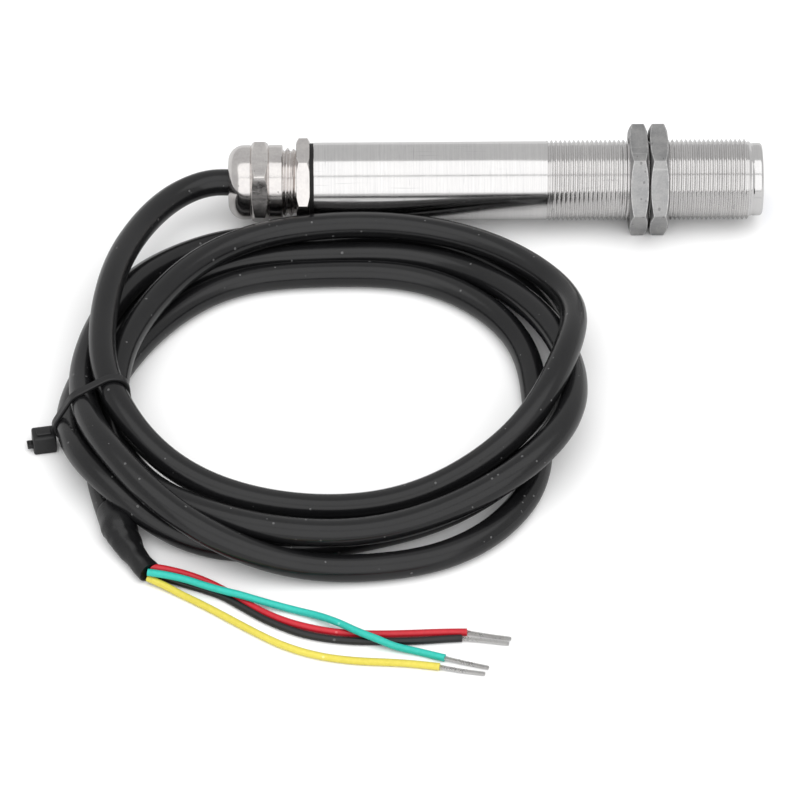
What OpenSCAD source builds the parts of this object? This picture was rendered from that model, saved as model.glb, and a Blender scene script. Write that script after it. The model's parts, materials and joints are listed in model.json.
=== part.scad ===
// Threaded cylindrical proximity sensor with a cable gland and a tied coil of cable.
// Millimetres. The sensor's axis is X, the sensing face is at the origin and looks along +X,
// and +Z is up. The sensor lies on a floor, resting on a flat of each nut.

/* [Barrel] */
// Length of the metal tube from the sensing face to its rear end
barrel_len = 100; // [80:1:140]
// Outer diameter over the thread crests
thread_od = 17.9; // [15:0.1:21.5]
// Thread pitch
pitch = 1; // [0.75:0.05:1.5]
// Number of thread ridges
ridges = 46; // [36:1:60]
// Step in radius from the thread crests down to the smooth rear part
tube_step = 0.2; // [0.1:0.05:0.6]
// Metal between the thread roots and the bore
tube_wall = 1.15; // [0.9:0.05:1.6]
// Step in radius from the thread crests down to the nose
nose_step = 0.85; // [0.7:0.05:1.2]
// Length of the nose
nose_len = 2.5; // [2:0.1:4]
// Rounding of the nose's front edge
nose_round = 0.7; // [0.2:0.1:1]

/* [Nuts] */
// Metal between the thread crests and the nuts' flats
nut_wall = 2.05; // [1.5:0.05:4]
// Thickness of each nut
nut_t = 4; // [3:0.1:6]
// Distance of the front nut behind the sensing face
nut_back = 21.2; // [6:0.1:30]
// Gap between the two nuts
nut_gap = 0.5; // [0.3:0.1:8]
// Chamfer at the nuts' corners
nut_chamfer = 0.9; // [0.2:0.1:1.2]
// Radial clearance between the nuts and the thread crests
nut_clear = 0.05; // [0.02:0.01:0.1]

/* [Sensing head] */
// Thickness of the plastic face
face_t = 1; // [0.6:0.1:2]
// Wall of the plastic cup
cup_wall = 0.5; // [0.4:0.1:0.8]
// Depth of the plastic cup
cup_len = 9; // [8:0.1:14]
// Length of the ferrite pot core
core_len = 5; // [4:0.1:6.5]
// Diameter of the core's centre post
post_d = 5.6; // [4.5:0.1:6]
// Length of the potting plug
potting_len = 4.4; // [3:0.1:8]

/* [Circuit board] */
// Length of the board
board_len = 60; // [48:1:66]
// Clearance between the board's long edges and the film round it
board_gap = 0.6; // [0.2:0.1:2]
// Thickness of the board
board_t = 1; // [0.8:0.1:1.6]

/* [Cable gland] */
// Width across the flats of the gland's hexagons
gland_af = 17; // [15:0.1:20]
// Step in radius from the hexagons' flats down to the cap's round collar
cap_step = 0.2; // [0.1:0.05:0.6]
// Wall of the cap's round collar
cap_wall = 0.7; // [0.5:0.05:1.2]
// Thickness of the gasket
gasket_t = 0.8; // [0.5:0.1:1.5]
// Thickness of the body's hexagon
body_hex_t = 3; // [2:0.1:4.5]
// Visible length of the threaded neck
neck_gap = 3.1; // [2.8:0.1:5]
// Length of the cap's round collar
collar_t = 3.2; // [2.5:0.1:5]
// Length of the cap's hexagon
cap_hex_t = 3.7; // [3:0.1:5]
// Length of the cap's dome
dome_t = 5.2; // [4.8:0.1:7]
// Length of the entry thread inside the tube
entry_len = 8; // [6:0.1:12]

/* [Cable] */
// Diameter of the cable's jacket
cable_d = 6; // [5:0.1:7.2]
// Diameter of the four insulated cores
wire_d = 1.6; // [1.3:0.1:1.6]
// Diameter of the tinned ends
tip_d = 0.9; // [0.6:0.1:1.2]

/* [Coil of cable] */
// Outer radius of the coil
coil_r_out = 59.2; // [57:0.1:60]
// Inner radius of the coil
coil_r_in = 38; // [34:0.1:44]
// Height of the coil
coil_h = 17.6; // [15:0.1:22]
// Width of the bundle where the tie holds it
waist_w = 14.4; // [12:0.1:17]
// Width of the tie's strap
strap_w = 2.6; // [2:0.1:4]
// Thickness of the tie's strap
strap_t = 1; // [0.8:0.1:1.4]

/* [Hidden] */
$fn = 72;

// Small steps between neighbours.
fit = 0.05;      // radial clearance of a turned or moulded fit
snug = 0.02;     // radial clearance of rubber on the cable
air = 0.1;       // gap between parts that only stand beside each other
eps = 0.01;      // overshoot of a cut

// Thread of the barrel.
thread_depth = 0.6 * pitch;
crest = pitch / 8;
thread_r = thread_od / 2;
root_r = thread_r - thread_depth;
thread_end = nose_len + ridges * pitch;
tube_od = thread_od - 2 * tube_step;
bore_r = root_r - tube_wall;
nose_r = thread_r - nose_step;
nose_edge = min(nose_round, nose_r - bore_r - air);

// The floor that the sensor and its cable lie on.
nut_af = thread_od + 2 * nut_wall;
floor_z = -nut_af / 2;
rear_nut_back = nut_back + nut_t + nut_gap;
nut_bore_r = thread_r + nut_clear;

// Sensing head, measured back from the face.
cup_r = bore_r - fit;
cup_bore_r = cup_r - cup_wall;
core_r = cup_bore_r - fit;
core_front = face_t + air;
core_back = core_front + core_len;
core_floor = 1.2;
core_rim = 1.3;
post_bore_r = 1;
bobbin_wall = 0.45;
groove_in = post_d / 2;
groove_out = core_r - core_rim;
bobbin_front = core_front;
bobbin_back = core_back - core_floor - air;
holder_front = core_back + air;
holder_back = cup_len + face_t - air;
holder_r = cup_bore_r - fit;
potting_front = cup_len + face_t + air;
potting_back = potting_front + potting_len;
potting_r = bore_r - fit;

// Film, circuit board and its parts.
sleeve_front = potting_back + air;
sleeve_r = bore_r - air;
sleeve_wall = 0.3;
sleeve_bore_r = sleeve_r - sleeve_wall;
board_w = 2 * (sqrt(pow(sleeve_bore_r, 2) - pow(board_t / 2, 2)) - board_gap);
board_front = holder_front + 1.4;
board_back = board_front + board_len;
board_top = board_t / 2;
chip_size = [5, 4, 1.6];
chip_at = potting_back + 3;
transistor_size = [4.5, 2.5, 1.5];
transistor_at = board_back - 14;
transistor_pitch = 5;
cap_can_d = 5;
cap_can_h = sqrt(pow(sleeve_bore_r, 2) - pow(cap_can_d / 2, 2)) - board_top - 0.4;
cap_can_at = chip_at + 16;
resistor_size = [1.6, 0.8, 0.5];
resistor_count = 6;
resistor_pitch = 3;
resistor_at = chip_at + 22;
resistor_y = 3.4;
ceramic_size = [2, 1.25, 0.9];
ceramic_count = 4;
ceramic_pitch = 4.5;
ceramic_y = -3.4;
sleeve_back = board_back + 1.5;

// Gland, measured back from the end of the barrel.
hex_front = gasket_t;
hex_back = hex_front + body_hex_t;
cap_front = hex_back + neck_gap;
cap_hex_front = cap_front + collar_t;
dome_front = cap_hex_front + cap_hex_t;
gland_len = dome_front + dome_t;
neck_pitch = 1.41;
neck_depth = 0.7;
cap_od = gland_af - 2 * cap_step;
neck_crest_r = cap_od / 2 - cap_wall;
neck_root_r = neck_crest_r - neck_depth;
neck_ridges = 5;
neck_start = hex_back + 0.6;
neck_back = neck_start + neck_ridges * neck_pitch;
cap_bore_r = neck_crest_r + fit;
cap_cone_back = gland_len - 1.4;
exit_r = cable_d / 2 + 0.3;
body_bore_r = cable_d / 2 + 0.6;
claw_r = cable_d / 2 + 2.2;
claw_bore_r = claw_r - 0.8;
claw_front = hex_front + 4.2;
claw_back = neck_back + 1.4;
claw_tip_r = claw_r - 0.6;
claw_slots = 8;
claw_slot_w = 0.8;
dome_round = 3.6;
hex_corner = 0.45;

// Where the cable leaves the gland, and the jacket's end inside the tube.
exit_x = -barrel_len - gland_len;
entry_x = -barrel_len + entry_len + 2;
entry_len_total = entry_x - exit_x;

// The cable from the gland to the coil, from its exit: along X, along Y, and height over the axis.
lead_route = [
    [0, 0, 0], [-4, -0.2, 0], [-8, -1.9, 0], [-11.3, -4.7, 0.1], [-15, -9.2, 0.4],
    [-18.4, -15, 1], [-21.2, -21.5, 1.7], [-23.5, -29.5, 2.6], [-25.2, -38, 3.3],
    [-26.2, -47, 3.6], [-26.5, -56, 2.8]
];
lead_sides = 12;

// Coil of cable: its centre from the cable's exit, and the outline of the heap of turns.
coil_at = [23, -63];
coil_lip = 2.4;
coil_slope = 6.6;
coil_shoulder = 3.4;
coil_crown = 4.2;
tie_angle = 190;
waist_r = 51;
waist_round = 5;
waist_slab = 6;
waist_h = coil_h - strap_t - air;
tie_head = [5, 4.6, 5];
tie_head_r = 61.6;
tie_stub = 2.4;

// Heat-shrink sleeve, from the cable's exit: along X, along Y, height over the floor, diameter.
shrink_route = [
    [-23.4, -96.5, 3.7, 7.2], [-22.1, -101.3, 3.75, 7.4], [-20.3, -105.9, 3.2, 6.2],
    [-18, -110.2, 2.6, 5], [-15.3, -114.3, 2.4, 4.8]
];
shrink_sides = 12;

// Cores, from the cable's exit: along X, along Y, and height of the core's middle over the floor.
red_route = [
    [-15, -113.5, 3.25], [-11.2, -114, 2.8], [-7.2, -114.8, 2.1], [-3.4, -116, 1.3],
    [0.2, -118, 0.8], [4.4, -121.4, 0.8], [8.6, -124.6, 0.8], [13.2, -127.3, 0.8],
    [18, -129.2, 0.8], [23, -130.5, 0.8], [28, -131.1, 0.8], [33, -131.3, 0.8],
    [38, -131.2, 0.8], [43, -131, 0.8], [47, -130.9, 0.8], [50.9, -130.9, 0.8]
];
black_route = [
    [-15, -113.5, 1.55], [-11.3, -115.1, 1.2], [-7.4, -116.5, 0.8], [-3.4, -118.2, 0.8],
    [0.4, -120.2, 0.8], [4.4, -123.3, 0.8], [8.4, -126.4, 0.8], [12.6, -129, 0.8],
    [17, -131.1, 0.8], [22, -132.5, 0.8], [27, -133.2, 0.8], [32, -133.4, 0.8],
    [37, -133.4, 0.8], [42, -133.2, 0.8], [46.5, -132.8, 0.8], [49.8, -132.6, 0.8]
];
teal_route = [
    [-15.6, -115.1, 3.25], [-11.8, -115.8, 3.1], [-7.8, -116.8, 2.8], [-3.8, -118.4, 2.6],
    [0, -119.9, 2.55], [4, -121.3, 2.5], [8, -122.4, 1.9], [12, -123.3, 1.2],
    [16, -124.5, 0.9], [20, -126.4, 1.4], [24, -129.2, 2.3], [28, -132, 2.55],
    [32, -134, 2.3], [36, -135.3, 1.3], [41, -136.5, 0.8], [46.2, -138.3, 0.8]
];
yellow_route = [
    [-15.6, -115.1, 1.55], [-12, -117.1, 1.2], [-8.4, -119.4, 0.8], [-4.6, -122, 0.8],
    [-0.6, -124.9, 0.8], [3.4, -127.9, 0.8], [7.5, -130.9, 0.8], [11.7, -133.7, 0.8],
    [16, -135.9, 0.8], [20.5, -137.5, 0.8], [25, -138.5, 0.8], [29.5, -139.1, 0.8],
    [34, -139.4, 0.8], [38.5, -139.8, 0.8], [42, -140.3, 0.8], [45.1, -140.8, 0.8]
];
wire_sides = 8;

// Tinned ends, from the ends of the cores.
red_tip = [[50.9, -130.9, 0.8], [55.4, -131.8, 0.6], [60, -132.6, 0.5]];
black_tip = [[49.8, -132.6, 0.8], [54.6, -133.2, 0.6], [59.5, -134, 0.5]];
teal_tip = [[46.2, -138.3, 0.8], [50.6, -139.6, 0.6], [55.2, -140.9, 0.5]];
yellow_tip = [[45.1, -140.8, 0.8], [49.7, -141.8, 0.6], [54.4, -142.6, 0.5]];

// Inner leads, from the middle of the tube: along X, along Y, height over the axis.
inner_lead_d = 1.1;
pad_x = -board_back + 2.5;
pad_z = board_top + inner_lead_d / 2 + fit;
pad_pitch = 2.6;
lead_spread = 0.85;

// ---------------------------------------------------------------- shared shapes

// Turns a profile of (radius, distance back from the face) round the sensor's axis.
module turn_back(from = 0) {
    translate([-from, 0, 0])
        rotate([0, -90, 0])
            rotate_extrude()
                children();
}

// A tube or disc between two distances back from the face.
module sleeve(front, back, outer_r, inner_r, from = 0) {
    turn_back(from)
        translate([inner_r, front])
            square([outer_r - inner_r, back - front]);
}

// A hexagonal prism with turned corners; first_corner is measured from the top.
module hex_disc(front, back, across, chamfer, first_corner, from = 0) {
    corner_r = across / 2 / cos(30);
    thick = back - front;
    translate([-from - front, 0, 0])
        rotate([0, -90, 0])
            intersection() {
                linear_extrude(thick)
                    rotate(first_corner)
                        circle(r = corner_r, $fn = 6);
                rotate_extrude()
                    polygon([
                        [0, 0],
                        [corner_r - chamfer, 0],
                        [corner_r + eps, chamfer * tan(30)],
                        [corner_r + eps, thick - chamfer * tan(30)],
                        [corner_r - chamfer, thick],
                        [0, thick]
                    ]);
            }
}

function unit(v) = v / norm(v);

// Direction of a route at point i.
function along(route, i) =
    unit(route[min(i + 1, len(route) - 1)] - route[max(i - 1, 0)]);

// One ring of corners round a route's point.
function corners(centre, dir, r, sides) =
    let (side = unit(cross(dir, [0, 0, 1])), up = cross(side, dir))
    [for (k = [0:sides - 1]) let (a = 360 * (k + 0.5) / sides)
        centre + r * (cos(a) * side + sin(a) * up)];

// A tube swept through the points of a route, with one radius for each point.
module tube(route, radii, sides) {
    last = len(route) - 1;
    walls = [for (i = [0:last - 1]) for (k = [0:sides - 1])
        let (n = (k + 1) % sides)
        [i * sides + k, i * sides + n, (i + 1) * sides + n, (i + 1) * sides + k]];
    polyhedron(
        points = [for (i = [0:last]) each corners(route[i], along(route, i), radii[i], sides)],
        faces = concat(
            [[for (k = [sides - 1:-1:0]) k]],
            walls,
            [[for (k = [0:sides - 1]) last * sides + k]]
        )
    );
}

// Moves a route's points from the cable's exit and the floor into the sensor's frame.
function from_exit(route, z0) = [for (p = route) [exit_x + p[0], p[1], z0 + p[2]]];
function same(route, value) = [for (p = route) value];

// A core or a tinned end that lies on the floor.
module floor_wire(route, d) {
    tube(from_exit(route, floor_z), same(route, d / 2), wire_sides);
}

// A rectangle with round corners, centred.
module round_rect(w, h, r) {
    square([w - 2 * r, h], center = true);
    square([w, h - 2 * r], center = true);
    for (sx = [-1, 1], sy = [-1, 1])
        translate([sx * (w / 2 - r), sy * (h / 2 - r)])
            circle(r);
}

// ---------------------------------------------------------------- barrel and nuts

// Metal tube: nose, thread and smooth rear part round one bore.
module barrel() {
    ridge_points = [for (i = [0:ridges - 1]) let (s = nose_len + i * pitch) each [
        [root_r, s + pitch / 8],
        [thread_r, s + pitch / 2 - crest / 2],
        [thread_r, s + pitch / 2 + crest / 2],
        [root_r, s + pitch * 7 / 8]
    ]];
    nose_arc = [for (a = [0:15:90])
        [nose_r - nose_edge * (1 - sin(a)), nose_edge * (1 - cos(a))]];
    color("gainsboro")
        turn_back()
            polygon(concat(
                [[bore_r, 0]],
                nose_arc,
                [[nose_r, nose_len]],
                ridge_points,
                [[tube_od / 2, thread_end], [tube_od / 2, barrel_len], [bore_r, barrel_len]]
            ));
}

// Jam nut whose front face is at a distance behind the sensing face.
module jam_nut(back) {
    color("darkgray")
        difference() {
            hex_disc(back, back + nut_t, nut_af, nut_chamfer, 30);
            sleeve(back - eps, back + nut_t + eps, nut_bore_r, 0);
        }
}

module front_nut() {
    jam_nut(nut_back);
}

module rear_nut() {
    jam_nut(rear_nut_back);
}

// ---------------------------------------------------------------- sensing head

// Plastic cup: the face and a thin wall behind it.
module sensing_face() {
    color("royalblue")
        turn_back()
            polygon([
                [0, 0], [cup_r, 0], [cup_r, cup_len + face_t],
                [cup_bore_r, cup_len + face_t], [cup_bore_r, face_t], [0, face_t]
            ]);
}

// Pot core, open towards the face, with a hole through its centre post.
module ferrite_core() {
    color("dimgray")
        difference() {
            sleeve(core_front, core_back, core_r, post_bore_r);
            sleeve(core_front - eps, core_back - core_floor, groove_out, groove_in);
        }
}

// Spool in the core's groove.
module coil_bobbin() {
    inner = groove_in + fit;
    outer = groove_out - fit;
    color("ivory")
        turn_back()
            polygon([
                [inner, bobbin_front], [outer, bobbin_front],
                [outer, bobbin_front + bobbin_wall], [inner + bobbin_wall, bobbin_front + bobbin_wall],
                [inner + bobbin_wall, bobbin_back - bobbin_wall], [outer, bobbin_back - bobbin_wall],
                [outer, bobbin_back], [inner, bobbin_back]
            ]);
}

// Copper winding on the spool.
module sensing_coil() {
    color("chocolate")
        sleeve(
            bobbin_front + bobbin_wall + fit, bobbin_back - bobbin_wall - fit,
            groove_out - 2 * fit, groove_in + bobbin_wall + 2 * fit
        );
}

// Plastic carrier behind the core, slotted for the board.
module core_holder() {
    slot_w = board_w + 2 * air;
    slot_t = board_t + 2 * air;
    color("whitesmoke")
        difference() {
            sleeve(holder_front, holder_back, holder_r, 0);
            translate([-holder_back - eps, -slot_w / 2, -slot_t / 2])
                cube([holder_back - board_front + air + eps, slot_w, slot_t]);
        }
}

// Cast resin behind the carrier, round the board.
module potting_plug() {
    slot_w = board_w + 2 * air;
    slot_t = board_t + 2 * air;
    color("darkslategray")
        difference() {
            sleeve(potting_front, potting_back, potting_r, 0);
            translate([-potting_back - eps, -slot_w / 2, -slot_t / 2])
                cube([potting_len + 2 * eps, slot_w, slot_t]);
        }
}

// Plastic film between the board and the metal tube.
module insulating_sleeve() {
    color("khaki")
        sleeve(sleeve_front, sleeve_back, sleeve_r, sleeve_bore_r);
}

// ---------------------------------------------------------------- circuit board

module circuit_board() {
    color("seagreen")
        translate([-board_back, -board_w / 2, -board_t / 2])
            cube([board_len, board_w, board_t]);
}

// A block that sits on the board, centred at a distance back and a place across.
module on_board(size, back, across = 0, side = 1) {
    gap = fit / 2;
    z = side > 0 ? board_top + gap : -board_top - gap - size[2];
    translate([-back - size[0] / 2, across - size[1] / 2, z])
        cube(size);
}

module oscillator_chip() {
    color("#222222")
        on_board(chip_size, chip_at);
}

// One output transistor for each switching output.
module output_transistors() {
    color("#2a2a2a")
        for (i = [-1, 1])
            on_board(transistor_size, transistor_at, i * transistor_pitch / 2, -1);
}

module smoothing_capacitor() {
    color("silver")
        translate([-cap_can_at, 0, board_top + fit / 2])
            cylinder(d = cap_can_d, h = cap_can_h);
}

module chip_resistors() {
    color("#303030")
        for (i = [0:resistor_count - 1])
            on_board(resistor_size, resistor_at + i * resistor_pitch, resistor_y);
}

module chip_capacitors() {
    color("peru")
        for (i = [0:ceramic_count - 1])
            on_board(ceramic_size, resistor_at + i * ceramic_pitch, ceramic_y);
}

// A core from the cable's end to its pad at the board's rear edge.
module inner_lead(pad, corner_y, corner_z) {
    y = (pad - 1.5) * pad_pitch;
    end_x = entry_x + fit;
    bend = (pad_x - end_x) / 4;
    route = [
        [pad_x, y, pad_z], [pad_x - 1.2, y, pad_z], [pad_x - 3 * bend / 2, y, pad_z + 0.8],
        [end_x + bend, corner_y * 1.2, corner_z + 0.4], [end_x, corner_y, corner_z]
    ];
    tube(route, same(route, inner_lead_d / 2), wire_sides);
}

module inner_lead_red() {
    color("crimson") inner_lead(0, -lead_spread, lead_spread);
}

module inner_lead_black() {
    color("#202020") inner_lead(1, -lead_spread, -lead_spread);
}

module inner_lead_teal() {
    color("mediumturquoise") inner_lead(2, lead_spread, -lead_spread);
}

module inner_lead_yellow() {
    color("gold") inner_lead(3, lead_spread, lead_spread);
}

// ---------------------------------------------------------------- cable gland

module gland_gasket() {
    color("#181818")
        sleeve(0, gasket_t, tube_od / 2 - 0.15, bore_r - 3 * fit, barrel_len);
}

// Gland body: entry thread, hexagon and threaded neck round one stepped bore.
module gland_body() {
    neck_points = [for (i = [0:neck_ridges - 1]) let (s = neck_start + i * neck_pitch) each [
        [neck_root_r, s],
        [neck_crest_r, s + neck_pitch * 0.4],
        [neck_crest_r, s + neck_pitch * 0.6],
        [neck_root_r, s + neck_pitch]
    ]];
    entry_r = bore_r - fit;
    color("silver")
        difference() {
            union() {
                sleeve(-entry_len, hex_front, entry_r - 3 * fit, 0, barrel_len);
                sleeve(-entry_len, -1, entry_r, 0, barrel_len);
                hex_disc(hex_front, hex_back, gland_af, hex_corner, -23.5, barrel_len);
                turn_back(barrel_len)
                    polygon(concat(
                        [[0, hex_back - 1], [neck_root_r, hex_back - 1]],
                        neck_points,
                        [[0, neck_back]]
                    ));
            }
            sleeve(-entry_len - eps, neck_back + eps, body_bore_r, 0, barrel_len);
            sleeve(claw_front - air, neck_back + eps, claw_r + fit, 0, barrel_len);
        }
}

// Slotted plastic insert whose fingers grip the seal.
module gland_claw() {
    color("lightgray")
        difference() {
            turn_back(barrel_len)
                polygon([
                    [claw_bore_r, claw_front], [claw_r, claw_front], [claw_r, neck_back + 0.2],
                    [claw_tip_r, claw_back], [claw_bore_r, claw_back]
                ]);
            for (i = [0:claw_slots / 2 - 1])
                rotate([i * 360 / claw_slots, 0, 0])
                    translate([-barrel_len - claw_back - eps, -claw_slot_w / 2, -claw_r - 1])
                        cube([claw_back - claw_front - 2, claw_slot_w, 2 * claw_r + 2]);
        }
}

// Rubber seal between the claw and the cable.
module gland_seal() {
    color("#2b2b2b")
        sleeve(claw_front, claw_back - 0.4, claw_bore_r - snug, cable_d / 2 + snug, barrel_len);
}

// Domed cap nut: round collar, hexagon and dome over one stepped cavity.
module gland_cap() {
    cap_r = cap_od / 2;
    color("silver")
        difference() {
            union() {
                sleeve(cap_front, dome_front + eps, cap_r, 0, barrel_len);
                hex_disc(cap_hex_front, dome_front, gland_af, hex_corner, -42.7, barrel_len);
                turn_back(barrel_len) {
                    translate([0, dome_front])
                        square([cap_r, dome_t - dome_round]);
                    translate([0, dome_front])
                        square([cap_r - dome_round, dome_t]);
                    intersection() {
                        translate([cap_r - dome_round, gland_len - dome_round])
                            circle(dome_round);
                        square([cap_r, gland_len]);
                    }
                }
            }
            sleeve(cap_front - eps, neck_back + 0.4, cap_bore_r, 0, barrel_len);
            turn_back(barrel_len)
                polygon([
                    [0, neck_back], [claw_r + 0.8, neck_back], [claw_r + 0.8, neck_back + 0.4],
                    [exit_r, cap_cone_back], [0, cap_cone_back]
                ]);
            sleeve(cap_cone_back - eps, gland_len + eps, exit_r, 0, barrel_len);
        }
}

// ---------------------------------------------------------------- cable

// Jacket from inside the tube to the gland's exit.
module cable_entry() {
    color("#1c1c1c")
        translate([exit_x, 0, 0])
            rotate([0, 90, 0])
                cylinder(d = cable_d, h = entry_len_total);
}

// Jacket from the gland to the coil.
module cable_lead() {
    route = from_exit(lead_route, 0);
    color("#1c1c1c")
        tube(route, same(route, cable_d / 2), lead_sides);
}

// Outline of the heap of turns: radius from the coil's centre, height over the floor.
module coil_outline() {
    polygon([
        [coil_r_in + 1, 0],
        [coil_r_out - 1, 0],
        [coil_r_out, 0.8],
        [coil_r_out, coil_lip],
        [coil_r_out - coil_slope, coil_lip + coil_slope * 0.86],
        [coil_r_out - coil_slope - 0.5, coil_h - coil_shoulder],
        [coil_r_out - coil_slope - 0.5 - coil_crown, coil_h],
        [coil_r_in + coil_crown + 1, coil_h],
        [coil_r_in, coil_h - coil_crown - 1],
        [coil_r_in, 0.8]
    ]);
}

// Stands a flat shape in the coil's cross-section at the tie.
module at_waist(thick) {
    translate([exit_x + coil_at[0], coil_at[1], floor_z])
        rotate([0, 0, tie_angle])
            translate([waist_r, thick / 2, strap_t + waist_h / 2])
                rotate([90, 0, 0])
                    linear_extrude(thick)
                        children();
}

// The tied coil of turns, narrowed where the tie holds it and eased round the barrel.
module cable_coil() {
    ease_r = max(tube_od, gland_af / cos(30)) / 2 + 0.4;
    slab = 2 * (coil_r_out - coil_r_in);
    color("#1c1c1c")
        difference() {
            translate([exit_x + coil_at[0], coil_at[1], floor_z])
                rotate_extrude()
                    coil_outline();
            at_waist(waist_slab)
                difference() {
                    square([slab, slab], center = true);
                    round_rect(waist_w, waist_h, waist_round);
                }
            translate([exit_x, 0, 0])
                rotate([0, 90, 0])
                    cylinder(r = ease_r, h = -exit_x);
        }
}

// Cable tie: strap, head and the cut end of the strap.
module cable_tie() {
    color("#101010") {
        at_waist(strap_w)
            difference() {
                round_rect(waist_w + 2 * strap_t + 2 * air, waist_h + 2 * strap_t,
                    waist_round + strap_t);
                round_rect(waist_w + 2 * air, waist_h, waist_round);
            }
        translate([exit_x + coil_at[0], coil_at[1], floor_z])
            rotate([0, 0, tie_angle]) {
                translate([tie_head_r - tie_head[0] / 2, -tie_head[1] / 2, 0])
                    cube(tie_head);
                translate([tie_head_r + tie_head[0] / 2 - eps, -strap_w / 2, 1])
                    cube([tie_stub, strap_w, strap_t]);
            }
    }
}

// Heat-shrink sleeve over the end of the jacket and the start of the cores.
module heat_shrink() {
    color("#141414")
        tube(
            from_exit(shrink_route, floor_z),
            [for (p = shrink_route) p[3] / 2],
            shrink_sides
        );
}

module wire_red() {
    color("crimson") floor_wire(red_route, wire_d);
}

module wire_black() {
    color("#202020") floor_wire(black_route, wire_d);
}

module wire_teal() {
    color("mediumturquoise") floor_wire(teal_route, wire_d);
}

module wire_yellow() {
    color("gold") floor_wire(yellow_route, wire_d);
}

module tip_red() {
    color("lightgray") floor_wire(red_tip, tip_d);
}

module tip_black() {
    color("lightgray") floor_wire(black_tip, tip_d);
}

module tip_teal() {
    color("lightgray") floor_wire(teal_tip, tip_d);
}

module tip_yellow() {
    color("lightgray") floor_wire(yellow_tip, tip_d);
}

barrel();
front_nut();
rear_nut();
sensing_face();
ferrite_core();
coil_bobbin();
sensing_coil();
core_holder();
potting_plug();
insulating_sleeve();
circuit_board();
oscillator_chip();
output_transistors();
smoothing_capacitor();
chip_resistors();
chip_capacitors();
inner_lead_red();
inner_lead_black();
inner_lead_teal();
inner_lead_yellow();
gland_gasket();
gland_body();
gland_claw();
gland_seal();
gland_cap();
cable_entry();
cable_lead();
cable_coil();
cable_tie();
heat_shrink();
wire_red();
wire_black();
wire_teal();
wire_yellow();
tip_red();
tip_black();
tip_teal();
tip_yellow();
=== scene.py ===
import json
import logging
import math
from dataclasses import dataclass
from enum import Enum
from typing import Any, Callable, Iterable, Mapping, Sequence

import bmesh
import bpy
import numpy as np
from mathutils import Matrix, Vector

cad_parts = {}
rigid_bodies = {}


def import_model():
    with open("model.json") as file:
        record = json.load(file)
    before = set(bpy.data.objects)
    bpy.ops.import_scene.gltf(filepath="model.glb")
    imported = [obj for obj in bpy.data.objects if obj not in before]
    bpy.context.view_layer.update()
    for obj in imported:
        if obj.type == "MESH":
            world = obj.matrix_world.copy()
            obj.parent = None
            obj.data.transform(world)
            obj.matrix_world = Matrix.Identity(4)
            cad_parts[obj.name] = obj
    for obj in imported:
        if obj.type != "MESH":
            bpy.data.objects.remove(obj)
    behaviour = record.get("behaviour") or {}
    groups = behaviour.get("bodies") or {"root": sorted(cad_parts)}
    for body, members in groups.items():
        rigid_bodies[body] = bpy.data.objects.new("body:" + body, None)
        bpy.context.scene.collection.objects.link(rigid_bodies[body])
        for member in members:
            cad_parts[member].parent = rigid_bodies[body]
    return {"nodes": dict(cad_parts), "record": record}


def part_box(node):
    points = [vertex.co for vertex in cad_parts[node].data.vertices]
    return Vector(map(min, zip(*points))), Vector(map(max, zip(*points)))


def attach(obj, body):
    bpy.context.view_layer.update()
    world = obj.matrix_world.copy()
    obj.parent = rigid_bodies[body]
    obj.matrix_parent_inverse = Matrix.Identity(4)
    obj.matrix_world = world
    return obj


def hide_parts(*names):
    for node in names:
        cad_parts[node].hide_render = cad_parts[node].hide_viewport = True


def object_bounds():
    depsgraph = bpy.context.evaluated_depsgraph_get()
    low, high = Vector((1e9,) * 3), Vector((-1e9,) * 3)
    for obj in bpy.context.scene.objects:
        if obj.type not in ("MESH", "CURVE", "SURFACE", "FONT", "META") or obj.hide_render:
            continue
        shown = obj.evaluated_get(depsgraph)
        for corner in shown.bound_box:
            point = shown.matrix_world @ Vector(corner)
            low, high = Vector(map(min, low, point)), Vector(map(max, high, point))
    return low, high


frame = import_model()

CAD_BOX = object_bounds()
MM = 0.001
FLOOR_Z = CAD_BOX[0].z
FLOAT_ERROR = 1e-9
# Soft pieces that are pressed onto the floor stop at this height.
LOWEST_Z = FLOOR_Z + 0.02 * MM
# Points of two skins that are closer than this become one seam.
SEAM = 0.003 * MM
LOG = logging.getLogger("sensor")

Colour = tuple[float, float, float]
Route = Sequence[tuple[float, float, float]]


class Body(Enum):
    """The rigid bodies that pieces ride on."""

    HOUSING = "housing"
    FRONT_NUT = "front_nut"
    REAR_NUT = "rear_nut"
    GLAND_CAP = "gland_cap"


# ------------------------------------------------------------------ node trees


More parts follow.
